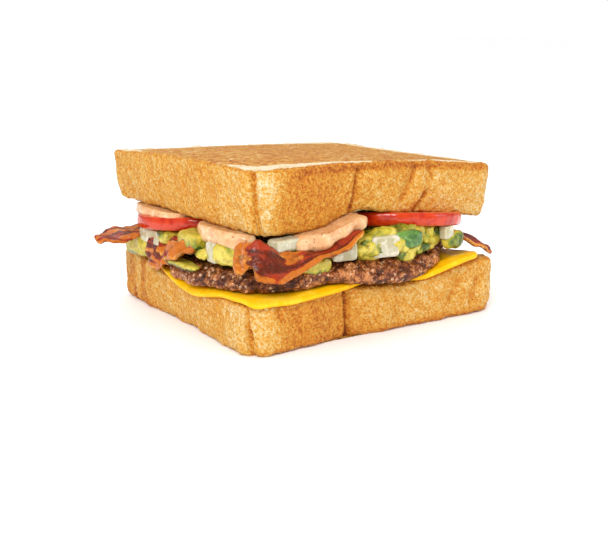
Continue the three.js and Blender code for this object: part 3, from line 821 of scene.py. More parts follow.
@dataclass(frozen=True)
class TomatoFinish:
    """Fresh tomato: glossy red skin round the side and paler moist flesh on the cut faces."""

    skin: tuple = srgb(204, 58, 14)
    deep_skin: tuple = srgb(180, 34, 8)
    flesh: tuple = srgb(226, 84, 44)
    pale_flesh: tuple = srgb(240, 130, 84)

    def make(self, effects: Effects) -> Material:
        """Builds the material.

        Args:
            effects: The shared effects.

        Returns:
            The material.
        """
        material, desk, shader = new_material("tomato")
        cut = desk.mark("cut")
        skin = desk.blend(desk.span(desk.noise(5.0, 3.0), 0.4, 0.62), self.skin, self.deep_skin)
        flesh = desk.blend(desk.span(desk.noise(2.4, 3.0), 0.42, 0.6), self.flesh, self.pale_flesh)
        colour = desk.blend(cut, skin, flesh)
        rough = desk.use(effects.wet, {"Scale": 160.0, "Wet": 0.12, "Dull": 0.3}).outputs["Roughness"]
        normal = desk.bump(desk.noise(1.6, 3.0), 0.2, 0.5)
        desk.feed(shader, {"Base Color": colour, "Roughness": rough, "Normal": normal, "Coat Weight": 0.1,
                           "Coat Roughness": 0.08, "Subsurface Weight": 0.1, "Subsurface Scale": 0.002})
        return material


@dataclass(frozen=True)
class AvocadoFinish:
    """Ripe avocado: buttery yellow inside and greener towards the peel side, moist and softly bruised."""

    inside: tuple = srgb(220, 200, 84)
    middle: tuple = srgb(194, 176, 48)
    green: tuple = srgb(132, 142, 32)
    peel_side: tuple = srgb(62, 84, 14)
    bruise: tuple = srgb(124, 90, 24)

    def make(self, effects: Effects) -> Material:
        """Builds the material.

        Args:
            effects: The shared effects.

        Returns:
            The material.
        """
        material, desk, shader = new_material("avocado")
        share = desk.maths("ADD", desk.mark("peel"), desk.span(desk.noise(2.2, 3.0), 0.3, 0.7, -0.22, 0.22))
        stops = [(0.0, self.inside), (0.35, self.middle), (0.7, self.green), (1.0, self.peel_side)]
        colour = desk.ramp(share, stops)
        spots = desk.span(desk.noise(3.1, 4.0), 0.56, 0.68)
        colour = desk.blend(desk.maths("MULTIPLY", spots, 0.5), colour, self.bruise)
        # painted shade: the crevices are painted darker, towards the dark peel-side green
        colour = desk.blend(desk.maths("MULTIPLY", desk.mark("crevice_shade"), 0.75), colour, self.peel_side)
        rough = desk.use(effects.wet, {"Scale": 350.0, "Wet": 0.18, "Dull": 0.5}).outputs["Roughness"]
        normal = desk.bump(desk.maths("ADD", desk.noise(0.9, 3.0), desk.noise(2.0, 2.0)), 0.35, 0.7)
        desk.feed(shader, {"Base Color": colour, "Roughness": rough, "Normal": normal, "Coat Weight": 0.25,
                           "Coat Roughness": 0.15, "Subsurface Weight": 0.12, "Subsurface Scale": 0.0015})
        return material


@dataclass(frozen=True)
class OnionFinish:
    """Raw onion: watery white with faint green layers, glossy and slightly translucent."""

    white: tuple = srgb(192, 186, 158)
    green: tuple = srgb(178, 168, 128)
    milk: tuple = srgb(214, 206, 184)

    def make(self, effects: Effects) -> Material:
        """Builds the material.

        Args:
            effects: The shared effects.

        Returns:
            The material.
        """
        material, desk, shader = new_material("onion")
        colour = desk.blend(desk.span(desk.noise(5.0, 2.0), 0.4, 0.65), self.white, self.green)
        colour = desk.blend(desk.span(desk.noise(2.6, 3.0), 0.48, 0.68), colour, self.milk)
        # painted highlight: the piece's edges are painted paler and milkier
        colour = desk.blend(desk.maths("MULTIPLY", desk.mark("rim"), 0.5), colour, self.milk)
        rough = desk.use(effects.wet, {"Scale": 300.0, "Wet": 0.08, "Dull": 0.28}).outputs["Roughness"]
        fibres = desk.noise(0.9, 2.0, 0.5, desk.stretch((1.0, 1.0, 4.0), (math.radians(20), 0.0, 0.0)))
        normal = desk.bump(desk.maths("ADD", fibres, desk.noise(1.8, 2.0)), 0.14, 0.6)
        desk.feed(shader, {"Base Color": colour, "Roughness": rough, "Normal": normal, "Coat Weight": 0.4,
                           "Coat Roughness": 0.08, "Subsurface Weight": 0.4, "Subsurface Scale": 0.003})
        shader.inputs["Subsurface Radius"].default_value = (0.8, 1.0, 0.7)
        return material


@dataclass(frozen=True)
class ChileFinish:
    """Green chile: dark glossy skin with a paler rim."""

    skin: tuple = srgb(26, 84, 30)
    dark: tuple = srgb(8, 40, 14)
    light: tuple = srgb(124, 168, 66)

    def make(self, effects: Effects) -> Material:
        """Builds the material.

        Args:
            effects: The shared effects.

        Returns:
            The material.
        """
        material, desk, shader = new_material("chile")
        mottle = desk.use(effects.mottle, {"Base": self.skin, "Dark": self.dark, "Light": self.light,
                                           "Coarse Scale": 240.0, "Fine Scale": 700.0, "Amount": 0.8})
        cut_side = desk.maths("MULTIPLY", desk.mark("peel"), 0.8)
        colour = desk.blend(cut_side, mottle.outputs["Color"], self.light)
        rough = desk.use(effects.wet, {"Scale": 260.0, "Wet": 0.1, "Dull": 0.3}).outputs["Roughness"]
        normal = desk.bump(desk.noise(1.6, 3.0), 0.5, 0.9)
        desk.feed(shader, {"Base Color": colour, "Roughness": rough, "Normal": normal, "Coat Weight": 0.5,
                           "Coat Roughness": 0.08})
        return material


@dataclass(frozen=True)
class SauceFinish:
    """Pale orange creamy sauce with tiny dark red and pepper specks."""

    base: tuple = srgb(222, 172, 120)
    dark: tuple = srgb(206, 142, 90)
    light: tuple = srgb(238, 204, 160)
    speck: tuple = srgb(150, 60, 30)

    def make(self, effects: Effects) -> Material:
        """Builds the material.

        Args:
            effects: The shared effects.

        Returns:
            The material.
        """
        material, desk, shader = new_material("sauce")
        mottle = desk.use(effects.mottle, {"Base": self.base, "Dark": self.dark, "Light": self.light,
                                           "Coarse Scale": 120.0, "Fine Scale": 420.0, "Amount": 0.8})
        flecks = desk.use(effects.flecks, {"Scale": PER_MM / 1.5, "Size": 0.28, "Share": 0.2})
        specks = desk.maths("MULTIPLY", flecks.outputs["Mask"], 0.75)
        colour = desk.blend(specks, mottle.outputs["Color"], self.speck)
        rough = desk.use(effects.wet, {"Scale": 150.0, "Wet": 0.18, "Dull": 0.35}).outputs["Roughness"]
        normal = desk.bump(desk.noise(1.6, 3.0), 0.3, 0.7)
        desk.feed(shader, {"Base Color": colour, "Roughness": rough, "Normal": normal, "Coat Weight": 0.25,
                           "Coat Roughness": 0.12, "Subsurface Weight": 0.15, "Subsurface Scale": 0.0015})
        return material


# ------------------------ the loaf's outline


@dataclass(frozen=True)
class LoafOutline:
    """Rounded rectangle walked anticlockwise from the middle of its front (-Y) side, where s is x."""

    half_x: float = SLICE_HALF_X
    half_y: float = SLICE_HALF_Y
    radius: float = SLICE_CORNER

    @property
    def length(self) -> float:
        """Length of the whole walk."""
        flat = self.half_x + self.half_y - 2.0 * self.radius
        return 4.0 * flat + 2.0 * math.pi * self.radius

    def at(self, s: Array) -> tuple[Array, Array]:
        """Points and outward normals at walk positions: the straight front, then each corner and its side.

        Args:
            s: Walk positions.

        Returns:
            Points and normals, x and y in the last axis.
        """
        flat_x, flat_y = self.half_x - self.radius, self.half_y - self.radius
        quarter = 0.5 * math.pi * self.radius
        left = np.mod(s + flat_x, self.length)
        point = np.stack([left - flat_x, np.full_like(left, -self.half_y)], axis=-1)
        normal = np.zeros_like(point)
        normal[..., 1] = -1.0
        left = left - 2.0 * flat_x
        corners = ((flat_x, -flat_y), (flat_x, flat_y), (-flat_x, flat_y), (-flat_x, -flat_y))
        runs = 2 * (2 * flat_y, 2 * flat_x)
        for number, (corner, run) in enumerate(zip(corners, runs)):
            turn = np.clip(left / self.radius, 0.0, 0.5 * math.pi)
            angle = (number - 1) * 0.5 * math.pi + turn
            out = np.stack([np.cos(angle), np.sin(angle)], axis=-1)
            past = np.clip(left - quarter, 0.0, run)
            here = np.asarray(corner) + self.radius * out
            here = here + past[..., None] * np.stack([-out[..., 1], out[..., 0]], axis=-1)
            reached = (left >= 0.0)[..., None]
            point = np.where(reached, here, point)
            normal = np.where(reached, out, normal)
            left = left - quarter - run
        return point, normal


LOAF = LoafOutline()
BACK_SHOULDER_S = (SLICE_HALF_X - SLICE_CORNER) + 1.2 * SLICE_CORNER
FRONT_CORNER_S = -57.0


def bottom_top(x: Array, y: Array) -> Array:
    """Height of the bottom slice's upper face: pressed in along the left edge, lifted at three corners.

    Args:
        x: Positions along X.
        y: Positions along Y.

    Returns:
        Heights.
    """
    return (
        BOTTOM_THICKNESS
        + 3.2 * bell(np.hypot(x - 50, y + 54), 14)
        - 1.6 * bell(np.hypot(x - 13, (y + 58) * 1.4), 11)
        + 2.4 * bell(np.hypot(x + 60, y - 42), 12)
        + 0.9 * bell(np.hypot(x - 40, y - 54), 16)
        - 3.6 * bell(y + 8, 17) * ease(-x, 42, 58)
        - bell(np.hypot(x + 56, y + 53), 14)
    )


def top_underside(x: Array, y: Array) -> Array:
    """Height of the top slice's underside: tilted up to the left, arched along its front edge."""
    arch = 4.6 * bell(x + 10, 10) + 4.0 * bell(x - 16, 19) - 0.6 * bell(x + 45, 8)
    return UNDERSIDE_HEIGHT - UNDERSIDE_SLOPE * x + ease(-y, 5, 52) * arch


def top_top(x: Array, y: Array) -> Array:
    """Height of the top slice's upper face: its four corner heights blended, crowned along two edges.

    Args:
        x: Positions along X.
        y: Positions along Y.

    Returns:
        Heights.
    """
    to_right = (x + SLICE_HALF_X) / (2 * SLICE_HALF_X)
    to_back = (y + SLICE_HALF_Y) / (2 * SLICE_HALF_Y)
    front = mix(FRONT_LEFT_HEIGHT, FRONT_RIGHT_HEIGHT, to_right)
    back = mix(BACK_LEFT_HEIGHT, BACK_RIGHT_HEIGHT, to_right)
    front_crown = FRONT_CROWN * 4 * to_right * (1 - to_right) * (1 - to_back)
    left_crown = LEFT_CROWN * 4 * to_back * (1 - to_back) * (1 - to_right)
    return mix(front, back, to_back) + front_crown + left_crown


@dataclass(frozen=True)
class Lay:
    """Where a slice lies: the loaf's outline stretched, turned about Z and shifted."""

    shift: tuple[float, float] = (0.0, 0.0)
    turn: float = 0.0
    stretch: tuple[float, float] = (1.0, 1.0)

    def out(self, spot: Array) -> Array:
        """Points of the loaf's outline moved to where the slice lies."""
        c, s = math.cos(math.radians(self.turn)), math.sin(math.radians(self.turn))
        x, y = spot[..., 0] * self.stretch[0], spot[..., 1] * self.stretch[1]
        return np.stack([x * c - y * s + self.shift[0], x * s + y * c + self.shift[1]], axis=-1)

    def back(self, x: Array, y: Array) -> tuple[Array, Array]:
        """Points of the burger in the coordinates of the slice's own outline."""
        c, s = math.cos(math.radians(self.turn)), math.sin(math.radians(self.turn))
        x, y = x - self.shift[0], y - self.shift[1]
        return (x * c + y * s) / self.stretch[0], (y * c - x * s) / self.stretch[1]


TOP_LAY = Lay((1.15, 5.47), 2.73, (1.011, 0.984))


# ------------------------ toast


class Level(Enum):
    """Which slice of toast."""

    BOTTOM = "bottom_toast"
    TOP = "top_toast"


@dataclass(frozen=True)
class Groove:
    """A crease of the crust between two points (walk, height): its width, its depth and the painted shade of
    its dark line.
    """

    start: tuple[float, float]
    end: tuple[float, float]
    width: float
    depth: float
    # painted shade: how much darker the crease's line is painted, and that line's width
    crease_shade: float = 0.0
    line: float = 0.6


@dataclass
class ToastSlice:
    """One thick slice of toast: crust all round, with creases, and two toasted faces."""

    level: Level
    lay: Lay
    lean: float
    flare: float
    grooves: list[Groove]
    flare_ends: float = 16.0
    around: int = 940
    wall_rings: int = 36
    edge_rings: int = 8
    top_rings: int = 32
    under_rings: int = 10
    denser: float = 0.35
    seed: int = 1

    def lower(self, x: Array, y: Array) -> Array:
        """Height of the slice's underside."""
        return np.zeros_like(x) if self.level is Level.BOTTOM else top_underside(x, y)

    def upper(self, x: Array, y: Array) -> Array:
        """Height of the slice's upper face."""
        return bottom_top(x, y) if self.level is Level.BOTTOM else top_top(x, y)

    def _relief(self, s: Array, z: Array, point: Array) -> Array:
        """How far the crust stands out: long soft waves and the spread foot at a corner, less each crease.

        Args:
            s: Walk positions.
            z: Heights.
            point: Points of the outline.

        Returns:
            Relief at each point.
        """
        out = 0.5 * uneven(s, 0.0, z, 46.0) + 0.25 * uneven(s, 3.0, z, 15.0)
        foot = bell(np.hypot(point[..., 0] + 60, point[..., 1] + 44), 14)
        out = out + self.flare * foot * ease(self.flare_ends - z, 0, 14)
        for groove in self.grooves:
            out = out - groove.depth * bell(to_segment(s, z, groove.start, groove.end), groove.width)
        return out * ease(0.5 * LOAF.length - np.abs(s), 0.0, 14.0)

    def _section(self) -> dict[str, Array]:
        """The slice's half section, from the middle of its underside over the crust to that of its top.

        Returns:
            For each ring: scale towards the middle, inset, height above the underside that doesn't stretch,
            share of the height that does, and share of the whole height.
        """
        r, q = LOWER_EDGE_ROUND, TOP_EDGE_ROUND
        turn = np.linspace(0, 0.5 * math.pi, self.edge_rings + 2)
        wall = np.linspace(0, 1, self.wall_rings)
        under = np.linspace(0.04, 1, self.under_rings)[:-1]
        over = 1 - np.linspace(0, 1, self.top_rings + 1)[1:] ** 1.25 * 0.985
        one, zero = np.ones_like, np.zeros_like
        parts = {
            "scale": [under, one(turn[:-1]), one(wall), one(turn[1:]), over],
            "inset": [under * 0 + r, r * (1 - np.sin(turn[:-1])), zero(wall), q * (1 - np.cos(turn[1:])),
                      over * 0 + q],
            "fixed": [zero(under), r * (1 - np.cos(turn[:-1])), wall * 0 + r, r + q * np.sin(turn[1:]),
                      over * 0 + r + q],
            "stretch": [zero(under), zero(turn[:-1]), wall, one(turn[1:]), one(over)],
            "share": [zero(under), 0.1 * turn[:-1] / turn[-1], 0.1 + 0.82 * wall,
                      0.92 + 0.08 * turn[1:] / turn[-1], one(over)],
        }
        return {name: np.concatenate(values)[:, None] for name, values in parts.items()}

    def _walk(self) -> Array:
        """Places round the outline, closer together near the front corner, where the creases are."""
        step = 2 * math.pi * np.arange(self.around) / self.around
        s = LOAF.length / (2 * math.pi) * (step - self.denser * np.sin(step)) + FRONT_CORNER_S
        return np.mod(s + 0.5 * LOAF.length, LOAF.length) - 0.5 * LOAF.length

    def build(self) -> tuple[Array, dict[str, Array]]:
        """The slice's rings of points, with the tone of the toast at each.

        Returns:
            The rings, and their marks 'tone' and 'face'.
        """
        part = self._section()
        s = self._walk()
        point, normal = LOAF.at(s)
        s = np.broadcast_to(s, (len(part["scale"]), self.around))
        at_x, at_y = point[:, 0] * part["scale"], point[:, 1] * part["scale"]
        low, high = self.lower(at_x, at_y), self.upper(at_x, at_y)
        z = low + part["fixed"] + part["stretch"] * (high - low - LOWER_EDGE_ROUND - TOP_EDGE_ROUND)
        share = part["share"]
        bulge = SLICE_BULGE * 4 * share * (1 - share) + self.lean * (share - 0.5)
        held = ease(1.02 - share, 0.0, 0.12) * ease(share, -0.2, 0.1)
        on_wall = (part["scale"] == 1) & (share > 0) & (share < 1)
        relief = self._relief(s, z, point) * held * on_wall
        out = np.where(part["scale"] < 1, 0.0, bulge + relief)
        flat = (point[None] - normal[None] * part["inset"][..., None]) * part["scale"][..., None]
        spot = self.lay.out(flat + normal[None] * out[..., None])
        rings = np.concatenate([spot, z[..., None]], axis=-1)
        rings, fibres = self._roughened(rings, s, on_wall)
        facts = {"s": s, "low": low, "high": high, "x": flat[..., 0], "y": flat[..., 1]}
        wall = on_wall * np.ones_like(s)
        return rings, {"tone": self._tone(rings, facts, wall, fibres), "face": 1 - wall}

    def _roughened(self, rings: Array, s: Array, on_wall: Array) -> tuple[Array, Array]:
        """Adds fine relief: soft dimples, slanting fibres and pits, less of each on the toasted faces.

        Args:
            rings: The slice's points.
            s: Walk positions; not used.
            on_wall: Which points are on the crust.

        Returns:
            The finished rings, and the fibres' relief.
        """
        normals = ring_normals(rings)
        walk = rings[..., 1] - rings[..., 0]
        slant = np.stack([
            0.85 * walk - 0.53 * rings[..., 2],
            0.26 * (0.53 * walk + 0.85 * rings[..., 2]),
            0.4 * (rings[..., 0] + rings[..., 1]),
        ], axis=-1)
        fibres = layered(slant, 2.2, self.seed + 3, 2)
        dimples = layered(rings, 7.0, self.seed + 5)
        nearest, _, _ = cells(rings, 2.2, self.seed + 9)
        pits = ease(0.5 - nearest, 0.0, 0.4)
        wall = 0.42 * fibres + 0.6 * dimples - 0.34 * pits
        face = 0.16 * dimples - 0.12 * pits + 0.1 * layered(rings, 16.0, self.seed + 6, 2)
        height = np.where(on_wall, wall, face)
        return rings + normals * height[..., None], np.where(on_wall, fibres, 0.0)

    def _tone(self, rings: Array, facts: dict[str, Array], wall: Array, fibres: Array) -> Array:
        """Tone of the toast, from 0 cream, 0.35 tan, 0.5 golden and 0.7 orange-brown to 1 dark brown.

        Args:
            rings: The slice's points.
            facts: Walk position, face heights and place on the outline of each point.
            wall: 1 on the crust, 0 on the faces.
            fibres: The fibres' relief.

        Returns:
            One tone for each point.
        """
        s, z = facts["s"], rings[..., 2]
        patches = 0.07 * layered(rings, 15.0, self.seed + 21) + 0.05 * layered(rings, 4.5, self.seed + 25)
        crust = CRUST_TONE + patches - 0.06 * fibres + 0.17 * bell(s + 34, 14)
        bands = self._top_bands if self.level is Level.TOP else self._bottom_bands
        crust = bands(crust, facts, z)
        # painted shade: a dark line painted along each crease
        for groove in self.grooves:
            inside = bell(to_segment(s, z, groove.start, groove.end), groove.line)
            crust = crust + groove.crease_shade * inside
        left = ease(-s, 64, 72) * (1 - ease(-s, 150, 158))
        edge = 1 - ease(facts["high"] - z, 0.4, 1.3)
        crust = mix(crust, EDGE_TONE, mix(0.75, 0.5, left) * edge)
        return np.clip(np.where(wall > 0, crust, self._face(rings, facts)), 0.0, DARKEST_TONE)

    def _top_bands(self, crust: Array, facts: dict[str, Array], z: Array) -> Array:
        """Bands of the top slice's crust: tan and cream beside the corner crease, brown at the top edge.

        Args:
            crust: Tone of the crust so far.
            facts: Walk position, face heights and place on the outline of each point.
            z: Heights.

        Returns:
            The tone with its bands.
        """
        s, wobble = facts["s"], 2.0 * noise(np.stack([z, z * 0, z * 0], axis=-1), 6.0, self.seed + 61)
        tan = ease(s + wobble, -84, -73) * (1 - ease(s, -59.5, -58))
        cream = ease(s, -57.4, -56.6) * (1 - ease(s + wobble, -54, -46))
        crust = mix(crust, crust - 0.14, tan)
        crust = mix(crust, 0.5 * crust + 0.05, cream)
        front = ease(s, -50, -34) * (1 - ease(s, 62, 70))
        band = 1 - ease(facts["high"] - z, 1.8, 4.4)
        return mix(crust, BAND_TONE, 0.85 * band * front) - 0.03 * ease(s, -20, 0) - 0.08 * ease(s, 18, 34)

    def _bottom_bands(self, crust: Array, facts: dict[str, Array], z: Array) -> Array:
        """Bands of the bottom slice's crust: pale at the corner, browner at the foot and the back, with
        painted shade beside the crease.

        Args:
            crust: Tone of the crust so far.
            facts: Walk position, face heights and place on the outline of each point.
            z: Heights.

        Returns:
            The tone with its bands.
        """
        s, wobble = facts["s"], 2.5 * noise(np.stack([z, z * 0, z * 0], axis=-1), 5.0, self.seed + 61)
        pale = ease(s + wobble, -80, -68) * (1 - ease(s + wobble, -52, -47))
        crust = mix(crust, 0.5 * crust + 0.1, 0.85 * pale)
        left = ease(-s, 78, 88) * (1 - ease(-s, 140, 150))
        crust = crust - 0.06 * left
        foot = 1 - ease(z - facts["low"], 1.0, 4.2)
        right = ease(s, -12, 6) * (1 - ease(s, 60, 70))
        # painted shade: darker beside the deep front crease, low on the crust
        crease_side_shade = bell(s + 13, 6)
        crust = mix(crust, FOOT_TONE, foot * (0.25 + 0.5 * right + 0.25 * crease_side_shade))
        crust = crust - 0.05 * ease(s, -16, -8)
        crust = crust + 0.1 * crease_side_shade * (1 - ease(z - facts["low"], 3, 10))
        corner = ease(-s, 128, 146) * (1 - ease(-s, 168, 176))
        streaks = noise(np.stack([s, s * 0, z * 0.15], axis=-1), 2.6, self.seed + 31)
        return crust + corner * (0.16 + 0.26 * streaks)

    def _face(self, rings: Array, facts: dict[str, Array]) -> Array:
        """Tone of the toasted faces: golden, with a ragged untoasted cream ring inside a thin brown rim.

        Args:
            rings: The slice's points.
            facts: Walk position, face heights and place on the outline of each point.

        Returns:
            One tone for each point.
        """
        patches = 0.09 * layered(rings, 13.0, self.seed + 41) + 0.06 * layered(rings, 4.0, self.seed + 45)
        face = FACE_TONE + patches
        x, y = facts["x"], facts["y"]
        from_side, from_end = SLICE_HALF_X - np.abs(x), SLICE_HALF_Y - np.abs(y)
        from_edge = np.minimum(from_side, from_end)
        ragged = 1.0 * layered(rings, 9.0, self.seed + 51)
        front = mix(8.5, 3.0, ease(x, -50, -12)) * (1 - ease(x, -12, -2)) + 4.5 * bell(x - 34, 13)
        front = np.where(y < 0, front, 2.5 + 5.0 * bell(x - 50, 18) + 3.0 * bell(x + 40, 14))
        left = np.where(x < 0, 6.0 * (1 - ease(y, -50, -32)) + 4.5 * ease(y, 22, 40), 4.0 * bell(y, 30))
        ring = np.maximum(1 - ease(from_end, front + ragged, front + ragged + 1.8),
                          1 - ease(from_side, left + ragged, left + ragged + 1.8))
        streak = np.stack([0.3 * (x + y), x - y, rings[..., 2]], axis=-1)
        flecks = ease(layered(streak, 3.6, self.seed + 55, 2), 0.42, 0.6)
        shown = 1.0 if self.level is Level.TOP else 0.1
        face = mix(face, 0.0, shown * np.maximum(ring * ease(from_edge, 1.0, 1.6), 0.45 * flecks))
        return mix(face, EDGE_TONE, 0.6 * (1 - ease(from_edge, 1.1, 1.7)))

    def make(self, material: Material) -> Object:
        """Makes the finished slice.

        Args:
            material: Its finish.

        Returns:
            The piece.
        """
        rings, marks = self.build()
        name = f"{self.level.value}_crusted"
        return settle(ring_piece(name, rings, marks), material, self.level.value)


BOTTOM_SLICE = ToastSlice(
    level=Level.BOTTOM,
    lay=Lay(),
    lean=0.6,
    flare=1.9,
    seed=100,
    grooves=[
        Groove((-60.6, 18.5), (-58.2, 0), 0.8, 1.6, 0.3, 0.35),
        Groove((-59, 9), (-57, 0), 0.7, 1.0, 0.25, 0.35),
        Groove((-17.6, 19), (-15.6, 0), 1.0, 2.4, 0.45, 0.5),
        Groove((-17.6, 19), (-16, 0), 8, 1.8),
        Groove((-45, 19), (-38, 6), 3, 0.9, 0.1, 1.2),
        Groove((38, 16), (33, 8), 2.4, 0.9, 0.2, 0.9),
        Groove((47, 15), (44, 6), 2.4, 0.8, 0.2, 0.9),
        Groove((BACK_SHOULDER_S, 0), (BACK_SHOULDER_S + 1, 20), 1.4, 1.2, 0.4),
        Groove((160, 0), (166, 20), 2.2, 1.1, 0.25, 0.8),
    ],
)

TOP_SLICE = ToastSlice(
    level=Level.TOP,
    lay=TOP_LAY,
    lean=2.8,
    flare=0.0,
    seed=200,
    grooves=[
        Groove((-57.9, 67), (-55.8, 42), 0.75, 1.6, 0.3, 0.35),
        Groove((-12.6, 63), (-14.4, 44), 0.9, 1.8, 0.35, 0.45),
        Groove((-12.8, 62), (-14.3, 44), 7, 0.6),
        Groove((15.6, 61.4), (10.8, 50.2), 1.9, 1.5, 0.3, 0.7),
        Groove((22.6, 60.6), (25.2, 56.8), 1.4, 1.1, 0.3),
        Groove((22, 51), (17.5, 44.4), 1.1, 1.8, 0.45, 0.5),
        Groove((BACK_SHOULDER_S, 38), (BACK_SHOULDER_S + 1, 62), 1.4, 1.3, 0.35),
        Groove((150, 44), (154, 60), 2.2, 1.2, 0.25, 0.8),
    ],
)


# ------------------------ cheese


@dataclass
class CheeseSlice:
    """Melted cheese slice: bent over the left and front edges, straight where its right corner lifts."""

    middle: tuple[float, float] = (-6.0, -4.0)
    front: tuple = ((-57.4, -55.8), (-47, -58.3), (-30, -58.1), (-17, -56.4), (-6, -52.8), (8, -53),
                    (17, -57), (27, -59.4), (38, -59.4), (47.5, -55.5))
    back: tuple = ((47, -34), (45, 2), (44, 42), (4, 47), (-46, 46), (-53, 34), (-58.4, 19), (-60.2, 7),
                   (-61.4, -5), (-62.4, -18), (-61.6, -27), (-60, -36), (-59.6, -46))
    corner_swell: float = 0.7
    upturn: float = 1.6
    around: int = 620
    edge_rings: int = 17
    flat_rings: int = 34
    seed: int = 300

    def _outline(self) -> Array:
        """Even steps along the smooth closed curve through the outline's points.

        Returns:
            Points, one a row.
        """
        dense = smooth_curve(np.asarray(self.front + self.back), np.linspace(0, 1, 6001), closed=True)
        run = np.concatenate([[0], np.cumsum(np.linalg.norm(np.diff(dense, axis=0), axis=1))])
        even = np.linspace(0, run[-1], self.around + 1)[:-1]
        return np.stack([np.interp(even, run, dense[:, axis]) for axis in (0, 1)], axis=-1)

    @staticmethod
    def _draped(x: Array, y: Array, lift: Array) -> Array:
        """Flat cheese laid on the toast: past the toast's edge it follows a quarter turn, then hangs.

        Args:
            x: Positions along X.
            y: Positions along Y.
            lift: Heights above the toast.

        Returns:
            The bent points.
        """
        flat_x, flat_y = SLICE_HALF_X - SLICE_CORNER, SLICE_HALF_Y - SLICE_CORNER
        out_x, out_y = np.maximum(np.abs(x) - flat_x, 0), np.maximum(np.abs(y) - flat_y, 0)
        reach = np.hypot(out_x, out_y)
        past = reach - (SLICE_CORNER - TOP_EDGE_ROUND)
        ground = bottom_top(x, y)
        safe = np.maximum(reach, 1e-6)
        nx, ny = np.sign(x) * out_x / safe, np.sign(y) * out_y / safe
        edge_round = TOP_EDGE_ROUND + 1.2
        middle = edge_round + CHEESE_BASE + CHEESE_THICKNESS / 2
        over = np.maximum(past, 0)
        turn = np.minimum(over / middle, 0.5 * math.pi)
        hang = np.maximum(0, over - middle * 0.5 * math.pi)
        radius = edge_round + lift
        out = radius * np.sin(turn)
        bent = np.stack([x - nx * past + nx * out, y - ny * past + ny * out,
                         ground - edge_round + radius * np.cos(turn) - hang], axis=-1)
        flat = np.stack([x, y, ground + lift], axis=-1)
        return np.where((past > 0)[..., None], bent, flat)

    def make(self, material: Material) -> Object:
        """Makes the finished slice: a thin sheet with a rounded melted rim.

        Args:
            material: Its finish.

        Returns:
            The piece.
        """
        outline = self._outline()
        inner = np.linspace(0.03, 0.955, self.flat_rings)
        turn = np.linspace(0, math.pi, self.edge_rings)
        share = np.concatenate([inner, 0.985 + 0.017 * np.sin(turn) ** 0.8, inner[::-1]])[:, None]
        layer = np.concatenate([inner * 0, 0.5 - 0.5 * np.cos(turn), inner * 0 + 1])[:, None]
        x = self.middle[0] + (outline[:, 0] - self.middle[0]) * share
        y = self.middle[1] + (outline[:, 1] - self.middle[1]) * share
        swell = self.corner_swell * bell(np.hypot(x + 57, y + 54), 6)
        lift = CHEESE_BASE + CHEESE_THICKNESS * layer + swell
        loose = ease(x, 12, 24) * ease(-y, 48, 54)
        upturn = self.upturn * bell(x - 34, 9) * ease(-y, 50, 54)
        flat = np.stack([x, y, bottom_top(x, y) + lift + upturn], axis=-1)
        rings = mix(self._draped(x, y, lift), flat, loose[..., None])
        soft = 0.22 * layered(rings, 11.0, self.seed + 1) + 0.08 * layered(rings, 3.5, self.seed + 5, 2)
        rings = rings + ring_normals(rings) * (soft * np.where(layer > 0.3, 1.0, 0.3))[..., None]
        return settle(ring_piece("cheese_slice_melted", rings), material, "cheese_slice")


# ------------------------ beef patty


def patty_radius(angle: Array) -> Array:
    """Radius of the patty in a direction: fuller towards the front corner, drawn in at the left.

    Args:
        angle: Directions, in radians.

    Returns:
        Radii.
    """
    degrees = np.mod(np.degrees(angle), 360)
    radius = 57 + 0.8 * np.sin(angle * 11 + 0.7) + 0.5 * np.sin(angle * 17)
    for middle, width, height in ((160, 14, -3.5), (192, 13, 3), (223, 13, 12), (262, 14, 1.6),
                                  (288, 12, 3.6), (326, 15, 4)):
        radius = radius + height * bell(degrees - middle, width)
    return radius


def patty_top(x: Array, y: Array) -> Array:
    """Height of the patty's top, with its coarse crumble."""
    return bottom_top(x, y) + PATTY_TOP + 0.35 * uneven(x, y, 0.0, 13.0)


